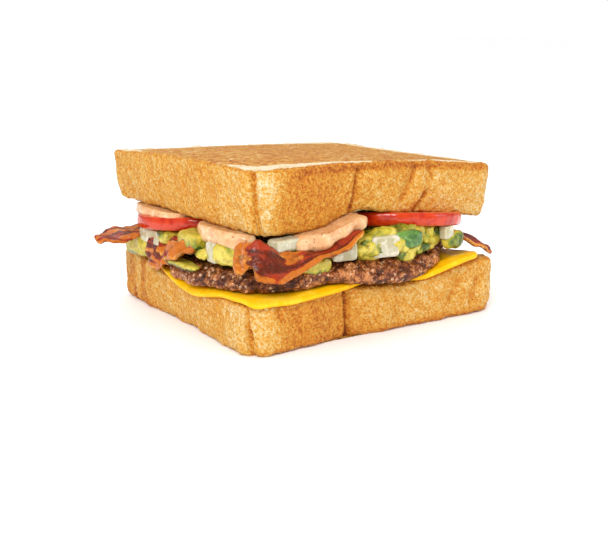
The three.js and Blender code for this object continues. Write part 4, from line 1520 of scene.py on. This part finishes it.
@dataclass
class BeefPatty:
    """The patty: a wide uneven disc of coarse mince with a crumbly side that sags past the crust."""

    around: int = 760
    side_rings: int = 40
    flat_rings: int = 26
    grain: float = 2.7
    seed: int = 400
    inset: tuple = (13.0, 6.0, 1.4, 0.1, 0.0, 1.4, 4.4, 13.0)
    share: tuple = (0.0, 0.0, 0.02, 0.24, 0.5, 0.74, 0.95, 1.0)

    def make(self, material: Material) -> Object:
        """Makes the finished patty: its section is carried round, then grains of mince swell out of it.

        Args:
            material: Its finish.

        Returns:
            The piece.
        """
        angle = np.linspace(0, 2 * math.pi, self.around, endpoint=False)
        knots = np.linspace(0, 1, len(self.inset))
        step = np.linspace(0, 1, self.side_rings)
        inset, share = np.interp(step, knots, self.inset), np.interp(step, knots, self.share)
        inner = np.linspace(54, 13, self.flat_rings)
        inset = np.concatenate([inner, inset, inner[::-1]])[:, None]
        share = np.concatenate([inner * 0, share, inner * 0 + 1])[:, None]
        reach = np.maximum(patty_radius(angle) - inset, 0.6)
        x = PATTY_MIDDLE[0] + reach * np.cos(angle)
        y = PATTY_MIDDLE[1] + reach * np.sin(angle)
        sag = 1.7 * ease(-y, 54.5, 58.5) * bell(x - 3, 14) + 2.6 * ease(-x, 58, 61.5) * bell(y - 7, 9)
        base = bottom_top(x, y) + PATTY_BASE
        rings = np.stack([x, y, base + share * (patty_top(x, y) - base) - sag], axis=-1)
        rings, marks = self._crumbled(rings, share)
        return settle(ring_piece("beef_patty_seared", rings, marks), material, "beef_patty")

    def _crumbled(self, rings: Array, share: Array) -> tuple[Array, dict[str, Array]]:
        """Swells a grain round each seed point, and marks each grain's tone, painted lighter where it swells
        out, and the painted shade of its crevices.

        Args:
            rings: The patty's points.
            share: Share of the patty's height at each ring.

        Returns:
            The swollen rings, and their marks 'grain' and 'crevice'.
        """
        normals = ring_normals(rings)
        sway = [layered(rings, 3.6, self.seed + 1 + axis, 2) for axis in range(3)]
        warped = rings + 1.5 * np.stack(sway, axis=-1)
        nearest, second, own = cells(warped, self.grain, self.seed + 11)
        small, small_next, small_own = cells(warped, 0.45 * self.grain, self.seed + 31)
        crevice_shade = 1 - ease(second - nearest, 0.0, 0.22)
        fine = 1 - ease(small_next - small, 0.0, 0.25)
        rough = layered(rings, 6.0, self.seed + 51, 3) + 0.6 * layered(rings, 2.2, self.seed + 61, 2)
        swell = 1.1 * (0.6 - nearest) + 0.35 * (0.5 - small) - 0.2 * crevice_shade + rough
        lower = ease(share, -0.05, 0.2)
        rings = rings + normals * (swell * (0.25 + 0.75 * lower))[..., None]
        blots = 0.35 * layered(rings, 5.0, self.seed + 71, 2)
        # each grain's own random brown, painted lighter where the grain swells out and where the surface
        # rises: partly painted light
        tone = 0.45 * own + 0.3 * small_own + 0.12 + 0.5 * (0.5 - nearest) + 0.3 * rough + blots
        # painted shade: darker in the crevices between grains and between the small grains, less where the
        # mince rises
        dark = 0.6 * crevice_shade + 0.15 * fine - 0.5 * rough
        return rings, {"grain": np.clip(tone, 0, 1), "crevice_shade": np.clip(dark, 0, 1)}


# ------------------------ tomato


@dataclass
class TomatoSlice:
    """A round tomato slice: a slightly bulging skin between two moist cut faces."""

    name: str
    middle: tuple[float, float]
    radius: float
    height: float
    slope: tuple[float, float]
    around: int = 420
    seed: int = 500

    def top(self, x: Array, y: Array) -> Array:
        """Height of its upper cut face, a tilted plane."""
        return self.height + self.slope[0] * (x - self.middle[0]) + self.slope[1] * (y - self.middle[1])

    def make(self, material: Material) -> Object:
        """Makes the finished slice: its rounded section is carried round its outline.

        Args:
            material: Its finish.

        Returns:
            The piece.
        """
        angle = np.linspace(0, 2 * math.pi, self.around, endpoint=False)
        inner = np.linspace(0.03, 0.955, 16) * self.radius
        turn = np.linspace(0, math.pi, 26)
        skin = 1.2 - 1.5 * np.sin(turn) ** 0.7
        inset = np.concatenate([self.radius - inner, skin, self.radius - inner[::-1]])
        share = np.concatenate([inner * 0, 0.5 - 0.5 * np.cos(turn), inner * 0 + 1])[:, None]
        reach = self.radius * (1 + 0.012 * np.sin(3 * angle + self.middle[0])) - inset[:, None]
        reach = np.maximum(reach, 0.3)
        x = self.middle[0] + reach * np.cos(angle)
        y = self.middle[1] + reach * np.sin(angle)
        z = self.top(x, y) - TOMATO_THICKNESS * (1 - share)
        rings = np.stack([x, y, z], axis=-1)
        side = bell(share - 0.5, 0.3)
        soft = 0.25 * layered(rings, 6.0, self.seed + 1, 2) * side
        soft = soft + 0.12 * layered(rings, 2.2, self.seed + 7, 2)
        rings = rings + ring_normals(rings) * soft[..., None]
        cut = np.broadcast_to(np.clip(1 - ease(share * (1 - share), 0.0, 0.05), 0, 1), x.shape)
        return settle(ring_piece(f"{self.name}_fresh", rings, {"cut": cut}), material, self.name)


TOMATO_LEFT = TomatoSlice("tomato_slice_left", (-33.5, 20), 30, 39.5, (-0.03, -0.085))
TOMATO_RIGHT = TomatoSlice("tomato_slice_right", (25, -28.5), 28, 40.4, (-0.1, -0.145))


# ------------------------ bacon


@dataclass
class BaconStrip:
    """A rippled bacon strip along stations (x, y, z, width, direction across), with a nick in one edge.

    The nick is given by its share of the length, its depth as a share of the half width, and its width.
    """

    name: str
    stations: tuple
    waves: float
    wave: float
    skew: float
    leaner: tuple = (0.0, 0.0)
    charred: float = 0.0
    nick: tuple[float, float, float] = (0.2, 0.0, 0.03)
    seed: int = 1
    along: int = 210
    section: int = 72

    def make(self, material: Material) -> Object:
        """Makes the finished strip: a flat rounded section carried along a curve, rippled and blistered.

        Args:
            material: Its finish.

        Returns:
            The piece.
        """
        rows = np.asarray(self.stations, float)
        t = np.linspace(0, 1, self.along)
        middle = smooth_curve(rows[:, :3], t)
        across = smooth_curve(unit(rows[:, 4:7]), t)
        padded = np.stack([rows[:, 3], rows[:, 3] * 0, rows[:, 3] * 0], axis=-1)
        width = smooth_curve(padded, t)[:, 0]
        step = 1e-4
        tangent = unit(smooth_curve(rows[:, :3], t + step) - smooth_curve(rows[:, :3], t - step))
        side = unit(across - (across * tangent).sum(1, keepdims=True) * tangent)
        lift_way = np.cross(tangent, side)
        turn = np.linspace(0, 2 * math.pi, self.section, endpoint=False)
        u = np.sign(np.cos(turn)) * np.abs(np.cos(turn)) ** 0.55
        face = np.sign(np.sin(turn)) * np.abs(np.sin(turn)) ** 0.6
        end = np.sqrt(np.clip(np.minimum(t, 1 - t) / 0.025, 0, 1))
        down, level = t[:, None] + u * 0, t[:, None] * 0 + u
        plane = np.stack([down * 9, level, level * 0], axis=-1)
        ragged = 1 + 0.13 * layered(plane, 1.0, self.seed, 3) * (u**2)
        nick_at, nick_depth, nick_width = self.nick
        nicked = 1 - nick_depth * bell(t - nick_at, nick_width)[:, None] * ease(-u, 0.2, 1.0)
        half_width = (width / 2 * (0.35 + 0.65 * end))[:, None] * ragged * nicked
        ripple = self.wave * np.sin(2 * math.pi * self.waves * t[:, None] + self.skew * u)
        ruffling = 2 * math.pi * 2.6 * self.waves * t[:, None] + 2.2 * u + self.seed
        ruffle = 0.4 * self.wave * u**2 * np.sin(ruffling)
        thin = 1 - 0.45 * np.abs(u) ** 6
        lean = self._lean(t, u)
        body = 0.5 * BACON_THICKNESS * face * thin * (0.4 + 0.6 * end)[:, None]
        height = ripple + ruffle + body - 0.14 * lean * np.sign(face)
        rings = (
            middle[:, None]
            + side[:, None] * (u * half_width)[..., None]
            + lift_way[:, None] * height[..., None]
        )
        nearest, _, _ = cells(rings, 2.3, self.seed + 7)
        blister = 0.16 * ease(0.6 - nearest, 0, 0.5) + 0.2 * layered(rings, 2.4, self.seed + 9, 2)
        rings = rings + ring_normals(rings) * (blister * (1 - 0.4 * lean))[..., None]
        blots = 0.35 * layered(rings, 6.0, self.seed + 13, 2)
        char = self.charred + blots + 0.25 * ease(np.abs(u), 0.9, 1.0)
        lengthwise = np.stack([level * 6.0 + down * 2, down * 5.0, face * 0.4 + down * 0], axis=-1)
        marks = {"lean": lean, "char": np.clip(char * np.ones_like(lean), 0, 1),
                 "streak": layered(lengthwise, 1.0, self.seed + 17, 2)}
        return settle(ring_piece(f"{self.name}_crisp", rings, marks), material, self.name)

    def _lean(self, t: Array, u: Array) -> Array:
        """1 on the lean meat and 0 on the fat: wavy streaks that run along the strip.

        Args:
            t: Shares of the strip's length.
            u: Places across it, from -1 to 1.

        Returns:
            One value for each t and u.
        """
        wander = 0.5 * np.sin(5.1 * t + self.seed) + 0.3 * np.sin(11 * t + 2.0 * self.seed)
        down = t[:, None] * 1.6 + u * 0
        streak_place = np.stack([u[None] * 1.9 + wander[:, None], down, down * 0], axis=-1)
        leaner = np.interp(t, np.linspace(0, 1, len(self.leaner)), self.leaner)[:, None]
        fat_edge = 0.7 * ease(-u, 0.5, 0.85)
        return ease(layered(streak_place, 0.75, self.seed + 3, 2) + leaner - fat_edge, -0.16, 0.2)


BACON = (
    BaconStrip("bacon_strip_left", (
        (-78.5, 35, 29.6, 6, 0.1, 1, 0.1), (-73, 34.5, 30.2, 13, 0.1, 1, 0.2),
        (-66, 35, 31, 16, 0.1, 1, 0.18), (-58, 35, 31.9, 15, 0.1, 1, 0.02),
        (-48, 35, 31.6, 14, 0, 1, 0), (-36, 35, 31.4, 14, 0, 1, 0)),
        waves=3.2, wave=0.45, skew=1.2, leaner=(0.4, 0.3), charred=0.1, seed=601),
    BaconStrip("bacon_strip_crumpled", (
        (-60.4, 24, 26, 8, 0.1, 0.5, 0.9), (-61, 19, 26, 12, 0.12, 0.35, 1),
        (-61.2, 12, 25.6, 12, 0.3, 0.3, 1), (-60.8, 5, 28.8, 12, 0.35, 0.1, 1),
        (-62.4, -3, 31.2, 10, 0.55, 0.1, 1), (-62.5, -11, 33.2, 8, 0.7, 0.1, 0.8),
        (-60.5, -18, 34, 5, 0.7, 0.2, 0.6)),
        waves=4.2, wave=0.85, skew=-3.2, leaner=(0.25, 0.15), charred=0.1, seed=633),
    BaconStrip("bacon_strip_folded", (
        (-60.6, -48, 37.4, 6, 0.2, 0.2, 1), (-60.8, -53.2, 37, 12, 0.4, 0.3, 1),
        (-57.2, -57, 36.2, 15, 0.4, 0.5, 1), (-51.5, -57.8, 34, 15, 0.25, 0.7, 1),
        (-45, -57.6, 33.6, 10.5, 0.2, 0.8, 1), (-38.5, -57.2, 33.6, 7.5, 0.2, 0.9, 0.8),
        (-30, -57, 35.2, 6.5, 0.1, 1, 0.4), (-21.5, -56.8, 37.6, 7, 0, 1, 0.35),
        (-11, -55.8, 41, 5, 0, 1, 0.3)),
        waves=3.4, wave=0.8, skew=0.9, leaner=(-0.8, -0.5, 0.6, 1.0, 0.2, 0.2, 0.8, 0.9, 0.4), charred=0.25,
        nick=(0.215, 0.75, 0.028), seed=667),
    BaconStrip("bacon_strip_right", (
        (26, -37, 32.4, 13, -0.1, 1, 0), (38, -42, 32.6, 13, -0.1, 1, 0.05),
        (47, -45, 31, 12, -0.1, 1, 0.25), (55, -46.4, 27.4, 10.5, 0, 1, 0.4),
        (62.5, -47.5, 23.4, 6, 0, 1, 0.45)),
        waves=3, wave=0.5, skew=1, leaner=(0.7, 0.7), charred=0.2, seed=691),
    BaconStrip("bacon_strip_back", (
        (22, 36, 32.2, 13, 0.3, 1, 0), (34, 40, 32.6, 15, 0.3, 1, 0), (46, 44, 32.2, 16, 0.3, 1, 0.1),
        (56, 48, 30, 14, 0.3, 1, 0.2), (65, 52, 26.6, 8, 0.3, 1, 0.2)),
        waves=3.4, wave=0.9, skew=1, leaner=(0.2, 0.2), charred=0.1, seed=713),
)


# ------------------------ chopped pieces and sauce


class Chop(Enum):
    """What a chopped piece is: the record slot that its node and its finish share."""

    AVOCADO = "avocado"
    ONION = "onion"
    CHILE = "chile"


def block_shape(size: Array, boxy: Array, rings: int, sides: int) -> Array:
    """Rounded blocks about the origin: the sines and cosines of a ball, bent by a power towards a box.

    Args:
        size: Length, width and height of each block, one a row.
        boxy: The power of each, from 0.3 for a crisp block to 1 for an egg.
        rings: Rings of points from top to bottom.
        sides: Points in each ring.

    Returns:
        Points, by block, ring and side.
    """
    polar = math.pi * np.arange(1, rings + 1) / (rings + 1)
    angle = 2 * math.pi * np.arange(sides) / sides
    power = np.asarray(boxy, float)[:, None, None]

    def bend(value: Array) -> Array:
        """Value to the power, with its sign kept."""
        return np.sign(value) * np.abs(value) ** power

    flat = bend(np.sin(polar)[None, :, None])
    half = np.asarray(size, float)[:, None, None, :] / 2
    x = bend(np.cos(angle)[None, None, :]) * flat * half[..., 0]
    y = bend(np.sin(angle)[None, None, :]) * flat * half[..., 1]
    z = bend(np.cos(polar)[None, :, None]) * half[..., 2] * np.ones_like(x)
    return np.stack([x, y, z], axis=-1)


def turned_about_z(points: Array, degrees: float) -> Array:
    """Points turned about the Z axis."""
    c, s = math.cos(math.radians(degrees)), math.sin(math.radians(degrees))
    x, y = points[..., 0], points[..., 1]
    return np.stack([x * c - y * s, x * s + y * c, points[..., 2]], axis=-1)


@dataclass
class ChoppedPiece:
    """A chopped piece of avocado, onion or chile: an uneven block, with a greener side on the avocado."""

    name: str
    kind: Chop
    at: tuple[float, float, float]
    size: tuple[float, float, float]
    turn: float
    boxy: float
    peel: tuple[float, float, float] = (0.0, 0.0, -1.0)

    def make(self, material: Material) -> Object:
        """Makes the finished piece: a rounded block with knife-cut faces and a moist uneven surface.

        Args:
            material: Its finish.

        Returns:
            The piece.
        """
        rings = block_shape([self.size], [self.boxy], 42, 64)[0]
        seed = int(abs(self.at[0] * 7 + self.at[1] * 13)) + 800
        rough = {Chop.AVOCADO: 0.75, Chop.ONION: 0.22, Chop.CHILE: 0.5}[self.kind]
        span = float(np.mean(self.size))
        place = rings + np.asarray(self.at)
        bulges = layered(place, 0.45 * span, seed, 3)
        dents = layered(place, 1.9, seed + 5, 2)
        rings = rings - ring_normals(rings) * (rough * (bulges + 0.45 * dents))[..., None]
        toward = unit(rings / (np.asarray(self.size) / 2)) @ unit(np.asarray(self.peel, float))
        peel = np.clip(0.25 + 0.65 * ease(toward, 0.0, 0.95) + 0.15 * bulges, 0, 1)
        # painted shade: marks the dents that sink in, to be painted darker
        crevice_shade = 0.5 * ease(-dents, 0.25, 0.7)
        share = np.sort(np.abs(rings) / (np.asarray(self.size) / 2), axis=-1)
        # painted highlight: 1 near the piece's edges, where the onion is painted paler
        rim = ease(share[..., 1], 0.72, 0.9)
        rings = turned_about_z(rings, self.turn) + np.asarray(self.at)
        marks = {"peel": peel[::-1], "crevice_shade": crevice_shade[::-1], "rim": rim[::-1]}
        piece = ring_piece(f"{self.name}_cut", rings[::-1], marks)
        return settle(piece, material, self.name)


CHOPPED = tuple(ChoppedPiece(*row) for row in (
    ("avocado_chunk_1", Chop.AVOCADO, (-59, 32, 26.4), (8.6, 18.5, 9.4), 8, 0.6, (0.2, 0.3, -0.9)),
    ("avocado_chunk_2", Chop.AVOCADO, (-58, 10.3, 33.2), (7, 10, 5), 0, 0.5, (-0.5, 0.5, 0.6)),
    ("avocado_chunk_3", Chop.AVOCADO, (-57, -11, 35.4), (10, 17, 6.8), -8, 0.5, (-0.4, -0.4, -0.9)),
    ("avocado_chunk_4", Chop.AVOCADO, (-60.4, -23.5, 32.6), (4.6, 6, 3.8), 0, 0.9, (0, 1, 0)),
    ("avocado_chunk_5", Chop.AVOCADO, (-55, -35.8, 34.4), (10, 13.5, 8.2), 20, 0.55, (0.3, -0.5, 0.9)),
    ("avocado_chunk_6", Chop.AVOCADO, (-5.7, -52, 33.7), (10.6, 9, 10), -14, 0.55, (-1, 0, 0.6)),
    ("avocado_chunk_7", Chop.AVOCADO, (-30.7, -53, 30), (13.6, 7, 5.4), 4, 0.6, (0, 0, -1)),
    ("avocado_chunk_8", Chop.AVOCADO, (36.8, -52.4, 31.6), (11.6, 6.4, 7.4), 20, 0.75, (0, -1, -0.2)),
    ("avocado_chunk_9", Chop.AVOCADO, (51, 22, 33.4), (10, 14, 6.4), 15, 0.65, (1, 0, -0.5)),
    ("avocado_chunk_10", Chop.AVOCADO, (-14, 51.5, 34), (15, 9, 6.2), -10, 0.65, (0.3, 1, -0.5)),
    ("avocado_chunk_11", Chop.AVOCADO, (-61.2, -7.5, 25.8), (5.4, 24, 3), 2, 0.7, (-0.3, 0, -0.6)),
    ("onion_piece_1", Chop.ONION, (-58.8, 19.6, 31.6), (5.4, 19.5, 6.2), 5, 0.35),
    ("onion_piece_2", Chop.ONION, (-58.2, -28.3, 34), (4.4, 7.4, 8), 0, 0.4),
    ("onion_piece_3", Chop.ONION, (-41.7, -50.5, 39), (12.6, 7, 4.6), 8, 0.4),
    ("onion_piece_4", Chop.ONION, (-18, -53, 33.9), (10.4, 6, 7), -8, 0.35),
    ("onion_piece_5", Chop.ONION, (-0.5, -56, 34.2), (12, 4, 8.4), -10, 0.35),
    ("onion_piece_6", Chop.ONION, (32.3, -53.8, 35.4), (5.4, 3.6, 5.4), 10, 0.35),
    ("onion_piece_7", Chop.ONION, (53.6, -3, 33), (5, 14, 5), -8, 0.35),
    ("onion_piece_8", Chop.ONION, (8, 52.5, 34), (14, 5, 5), 8, 0.35),
    ("chile_piece", Chop.CHILE, (9.7, -57.4, 36.1), (12, 3.4, 7.2), -10, 0.7, (-0.7, 0, 0.7)),
))


@dataclass
class SauceLobe:
    """A lobe of sauce pressed between the top slice and what lies under it."""

    name: str
    at: tuple[float, float, float]
    size: tuple[float, float, float]
    turn: float
    boxy: float
    rise: float = 0.0
    waist: float | None = None

    def make(self, material: Material) -> Object:
        """Makes the finished lobe: a rounded block with soft folds, held under the top slice.

        Args:
            material: Its finish.

        Returns:
            The piece.
        """
        rings = block_shape([self.size], [self.boxy], 56, 150)[0]
        seed = int(abs(self.at[0] * 5 + self.at[1] * 3)) + 900
        place = rings + np.asarray(self.at)
        folds = layered(place, 8.0, seed, 3)
        ridges = 1 - 2 * np.abs(layered(place * np.array([1.0, 1.0, 1.6]), 9.0, seed + 5, 2))
        small = layered(place, 2.8, seed + 9, 2)
        pinch = 0.0 if self.waist is None else bell(rings[..., 0] - self.waist, 2.6)
        inward = 1.0 * folds - 0.5 * ridges + 0.3 * small + 1.6 * pinch
        rings = rings - ring_normals(rings) * inward[..., None]
        rings[..., 2] += self.rise * rings[..., 0]
        rings = turned_about_z(rings, self.turn) + np.asarray(self.at)
        x, y = TOP_LAY.back(rings[..., 0], rings[..., 1])
        rings[..., 2] = np.minimum(rings[..., 2], top_underside(x, y) + 0.2)
        return settle(ring_piece(f"{self.name}_spread", rings[::-1]), material, self.name)


SAUCE = (
    SauceLobe("sauce_left", (-48.5, 20.5, 41.6), (27, 38, 8.4), 2, 0.65),
    SauceLobe("sauce_corner", (-54.4, -29.5, 40.8), (12, 35, 10.4), 2, 0.8),
    SauceLobe("sauce_front", (-23, -50, 41.2), (33, 13.4, 7.4), 2, 0.65, 0.2, -4.5),
    SauceLobe("sauce_back", (20, 42, 38), (40, 22, 4.6), -6, 0.8),
)


# ------------------------ avocado mash


def mash_rim(angle: Array) -> Array:
    """Radius of the mash in a direction: just inside the patty, lobed, drawn back at the front corner.

    Args:
        angle: Directions, in radians.

    Returns:
        Radii.
    """
    lobes = 1.1 * np.sin(9 * angle + 2) + 0.8 * np.sin(14 * angle)
    bare_corner = 9 * bell(angle - 1.25 * math.pi, 0.42)
    full_side = 2.6 * bell(angle - 1.7 * math.pi, 0.28)
    return patty_radius(angle) - 3.4 + lobes - bare_corner + full_side


@dataclass
class AvocadoMash:
    """Mashed avocado between the patty and the tomatoes: a lumpy slab with a lobed rim."""

    around: int = 760
    rim_rings: int = 44
    crown: float = 36.4
    heap: float = 4.0
    lump: float = 5.6
    seed: int = 1000
    knots: tuple = (0.0, 0.3, 0.42, 0.52, 0.64, 0.74, 1.0)
    share: tuple = (0.5, 0.93, 1.0, 1.005, 0.96, 0.86, 0.5)
    layer: tuple = (0.0, 0.0, 0.2, 0.5, 0.92, 1.0, 1.0)

    def make(self, material: Material) -> Object:
        """Makes the finished mash: its section is carried round the rim, then lumps swell out of it.

        Args:
            material: Its finish.

        Returns:
            The piece.
        """
        angle = np.linspace(0, 2 * math.pi, self.around, endpoint=False)
        step = np.linspace(0.05, 0.95, self.rim_rings)
        share = np.interp(step, self.knots, self.share)[:, None]
        layer = np.interp(step, self.knots, self.layer)[:, None]
        reach = mash_rim(angle) * share
        x = PATTY_MIDDLE[0] + reach * np.cos(angle)
        y = PATTY_MIDDLE[1] + reach * np.sin(angle)
        base = patty_top(x, y) + MASH_GAP
        crown = self.crown + 1.4 * uneven(x, y, 0.0, 17.0) + 1.2 * ease(share, 0.8, 0.95)
        crown = crown + self.heap * bell(np.hypot(x - 12, y + 54), 13)
        rings = np.stack([x, y, base + layer * (crown - base)], axis=-1)
        normals = ring_normals(rings)
        sway = [layered(rings, 5.0, self.seed + 1 + axis, 3) for axis in range(3)]
        warped = rings + 2.6 * np.stack(sway, axis=-1)
        nearest, second, own = cells(warped, self.lump, self.seed + 11)
        crevice_shade = 1 - ease(second - nearest, 0.0, 0.22)
        swell = 1.8 * (0.6 - nearest) - 0.3 * crevice_shade + 0.8 * layered(rings, 3.0, self.seed + 21, 3)
        rings = rings + normals * swell[..., None]
        peel = np.clip(0.1 + 0.75 * own**2 + 0.25 * layered(rings, 3.0, self.seed + 31, 2), 0, 1)
        # painted shade: the seams between lumps are marked to be painted darker
        piece = ring_piece("avocado_mash_lumpy", rings, {"peel": peel, "crevice_shade": 0.5 * crevice_shade})
        return settle(piece, material, "avocado_mash")


@dataclass
class AvocadoBits:
    """Small crushed bits of avocado on the mash's rim, half of them in front, one mesh for all."""

    count: int = 130
    rings: int = 16
    sides: int = 22
    sizes: tuple[float, float] = (2.2, 6.4)
    highest: float = 36.6
    front_arc: tuple[float, float] = (1.46 * math.pi, 1.86 * math.pi)
    seed: int = 41
    grain_seed: int = 1101

    def make(self, material: Material) -> Object:
        """Makes all the bits: small rounded blocks with random turns, spread along the mash's rim.

        Args:
            material: Its finish.

        Returns:
            The piece.
        """
        random = np.random.default_rng(self.seed)
        angle = random.uniform(0, 2 * math.pi, self.count)
        angle[: self.count // 2] = random.uniform(*self.front_arc, self.count // 2)
        size = random.uniform(*self.sizes, (self.count, 3)) * np.array([1.0, 1.0, 0.8])
        shape = block_shape(size, random.uniform(0.5, 0.9, self.count), self.rings, self.sides)
        turn, tip = random.uniform(0, 2 * math.pi, (2, self.count))
        c, s = np.cos(turn)[:, None, None], np.sin(turn)[:, None, None]
        ct, st = np.cos(0.5 * np.sin(tip))[:, None, None], np.sin(0.5 * np.sin(tip))[:, None, None]
        x, y, z = shape[..., 0], shape[..., 1], shape[..., 2]
        x, z = x * ct - z * st, x * st + z * ct
        shape = np.stack([x * c - y * s, x * s + y * c, z], axis=-1)
        reach = mash_rim(angle) + random.uniform(-1.6, 1.2, self.count)
        showing = bell(PATTY_MIDDLE[0] + reach * np.cos(angle) + 1, 14) * (np.sin(angle) < 0)
        reach = reach - 5.0 * showing
        px = PATTY_MIDDLE[0] + reach * np.cos(angle)
        py = PATTY_MIDDLE[1] + reach * np.sin(angle)
        floor = patty_top(px, py) + MASH_GAP
        pz = floor + random.uniform(0.1, 0.95, self.count) * (self.highest - floor)
        middle = np.stack([px, py, pz], axis=-1)[:, None, None]
        dented = 1 + 0.45 * layered(shape + middle, 2.0, self.grain_seed, 3)
        shape = shape * dented[..., None] + middle
        quads, fans = ring_faces(self.rings, self.sides)
        each = self.rings * self.sides + 2
        start = (np.arange(self.count) * each)[:, None, None]
        points = np.concatenate([with_poles(bit) for bit in shape])
        own = np.repeat(random.uniform(0, 1, self.count) ** 1.3, each)
        quads = (quads[None] + start).reshape(-1, 4)
        fans = (fans[None] + start).reshape(-1, 3)
        mesh = mesh_of("avocado_bits", points, quads, fans, {"peel": own, "crevice_shade": own * 0})
        return settle(show("avocado_bits", mesh), material)


# ------------------------ studio


@dataclass
class Studio:
    """Camera at the photograph's angle, a plain pale floor and soft white light."""

    azimuth: float = -33.8
    elevation: float = 11.6
    distance: float = 440.0
    aim_height: float = 30.9
    aim_right: float = 0.35
    aim_down: float = 17.0
    focal_pixels: float = 1043.0
    picture_width: float = 608.0
    sensor: float = 36.0
    surroundings: float = 1.02
    mirrored_surroundings: float = 0.35

    def camera(self) -> None:
        """Places the camera by its angle round the burger and turns it to its aim."""
        azimuth, elevation = math.radians(self.azimuth), math.radians(self.elevation)
        back = Vector((math.sin(azimuth) * math.cos(elevation), -math.cos(azimuth) * math.cos(elevation),
                       math.sin(elevation)))
        right = Vector((math.cos(azimuth), math.sin(azimuth), 0.0))
        up = back.cross(right)
        pivot = Vector((0.0, 0.0, self.aim_height))
        place = pivot + back * self.distance
        aim = pivot + right * self.aim_right - up * self.aim_down
        look_back = (place - aim).normalized()
        look_right = Vector((0, 0, 1)).cross(look_back).normalized()
        look_up = look_back.cross(look_right)
        turn = Matrix((look_right, look_up, look_back)).transposed().to_4x4()
        data = bpy.data.cameras.new("camera")
        data.sensor_width = self.sensor
        data.lens = self.focal_pixels / self.picture_width * self.sensor
        data.clip_start = NEAREST_SEEN
        obj = show("camera", data)
        obj.matrix_world = Matrix.Translation(place * MM) @ turn
        bpy.context.scene.camera = obj

    @staticmethod
    def soft_box(name: str, place: tuple, size: float, power: float, aim: tuple = (0, 0, 35)) -> None:
        """Adds one square area light.

        Args:
            name: Name of the light.
            place: Its position in millimetres.
            size: Its side in millimetres.
            power: Its power in watts.
            aim: Where it points, in millimetres.
        """
        data = bpy.data.lights.new(name, "AREA")
        data.size = size * MM
        data.energy = power
        way = Vector(aim) - Vector(place)
        turn = way.to_track_quat("-Z", "Y").to_matrix().to_4x4()
        show(name, data).matrix_world = Matrix.Translation(Vector(place) * MM) @ turn

    def light(self) -> None:
        """Adds the white surroundings, dimmer in reflections, and three soft boxes."""
        world = bpy.data.worlds.new("studio_white")
        world.use_nodes = True
        desk = NodeDesk(world.node_tree)
        background = world.node_tree.nodes["Background"]
        background.inputs["Color"].default_value = (1, 1, 1, 1)
        mirrored = desk.add("ShaderNodeLightPath").outputs["Is Glossy Ray"]
        strength = desk.span(mirrored, 0.0, 1.0, self.surroundings, self.mirrored_surroundings)
        world.node_tree.links.new(strength, background.inputs["Strength"])
        bpy.context.scene.world = world
        self.soft_box("key", (-520, -460, 520), 240, 3.2)
        self.soft_box("fill", (520, -520, 260), 200, 0.8)
        self.soft_box("rim", (100, 500, 620), 420, 1.2)
        bpy.context.scene.view_settings.view_transform = "Standard"

    @staticmethod
    def floor() -> None:
        """Adds the plain pale floor."""
        mesh = bpy.data.meshes.new("floor")
        half = FLOOR_HALF
        mesh.from_pydata([(-half, -half, 0), (half, -half, 0), (half, half, 0), (-half, half, 0)], [],
                         [(0, 1, 2, 3)])
        obj = show("floor", mesh)
        material, desk, shader = new_material("floor")
        shade = desk.ramp(desk.noise(40.0, 2.0), [(0.0, srgb(250, 250, 250)), (1.0, srgb(254, 254, 254))])
        desk.feed(shader, {"Base Color": shade, "Roughness": 0.9, "Specular IOR Level": 0.0})
        mesh.materials.append(material)


# ------------------------ the whole burger


@dataclass
class Burger:
    """All the pieces, built in order from below."""

    materials: dict[str, Material] = field(default_factory=dict)

    def finish_all(self) -> None:
        """Builds each finish once."""
        effects = Effects()
        finishes = {
            "toast": ToastFinish(), "cheese": CheeseFinish(), "patty": BeefFinish(), "bacon": BaconFinish(),
            "tomato": TomatoFinish(), "avocado": AvocadoFinish(), "onion": OnionFinish(),
            "chile": ChileFinish(), "sauce": SauceFinish(),
        }
        self.materials = {name: finish.make(effects) for name, finish in finishes.items()}

    def build(self) -> None:
        """Builds every piece and reports it."""
        paints = self.materials
        jobs = [(BOTTOM_SLICE, "toast"), (CheeseSlice(), "cheese"), (BeefPatty(), "patty")]
        jobs += [(strip, "bacon") for strip in BACON]
        jobs += [(piece, piece.kind.value) for piece in CHOPPED]
        jobs += [(AvocadoMash(), "avocado"), (AvocadoBits(), "avocado")]
        jobs += [(TOMATO_LEFT, "tomato"), (TOMATO_RIGHT, "tomato")]
        jobs += [(lobe, "sauce") for lobe in SAUCE]
        jobs += [(TOP_SLICE, "toast")]
        for maker, slot in jobs:
            piece = maker.make(paints[slot])
            log.info("%s: %d points", piece.name, len(piece.data.vertices))


def main() -> None:
    """Builds the studio and the burger."""
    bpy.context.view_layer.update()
    studio = Studio()
    studio.camera()
    studio.light()
    studio.floor()
    burger = Burger()
    burger.finish_all()
    burger.build()
    log.info("size written")


if __name__ == "__main__":
    main()
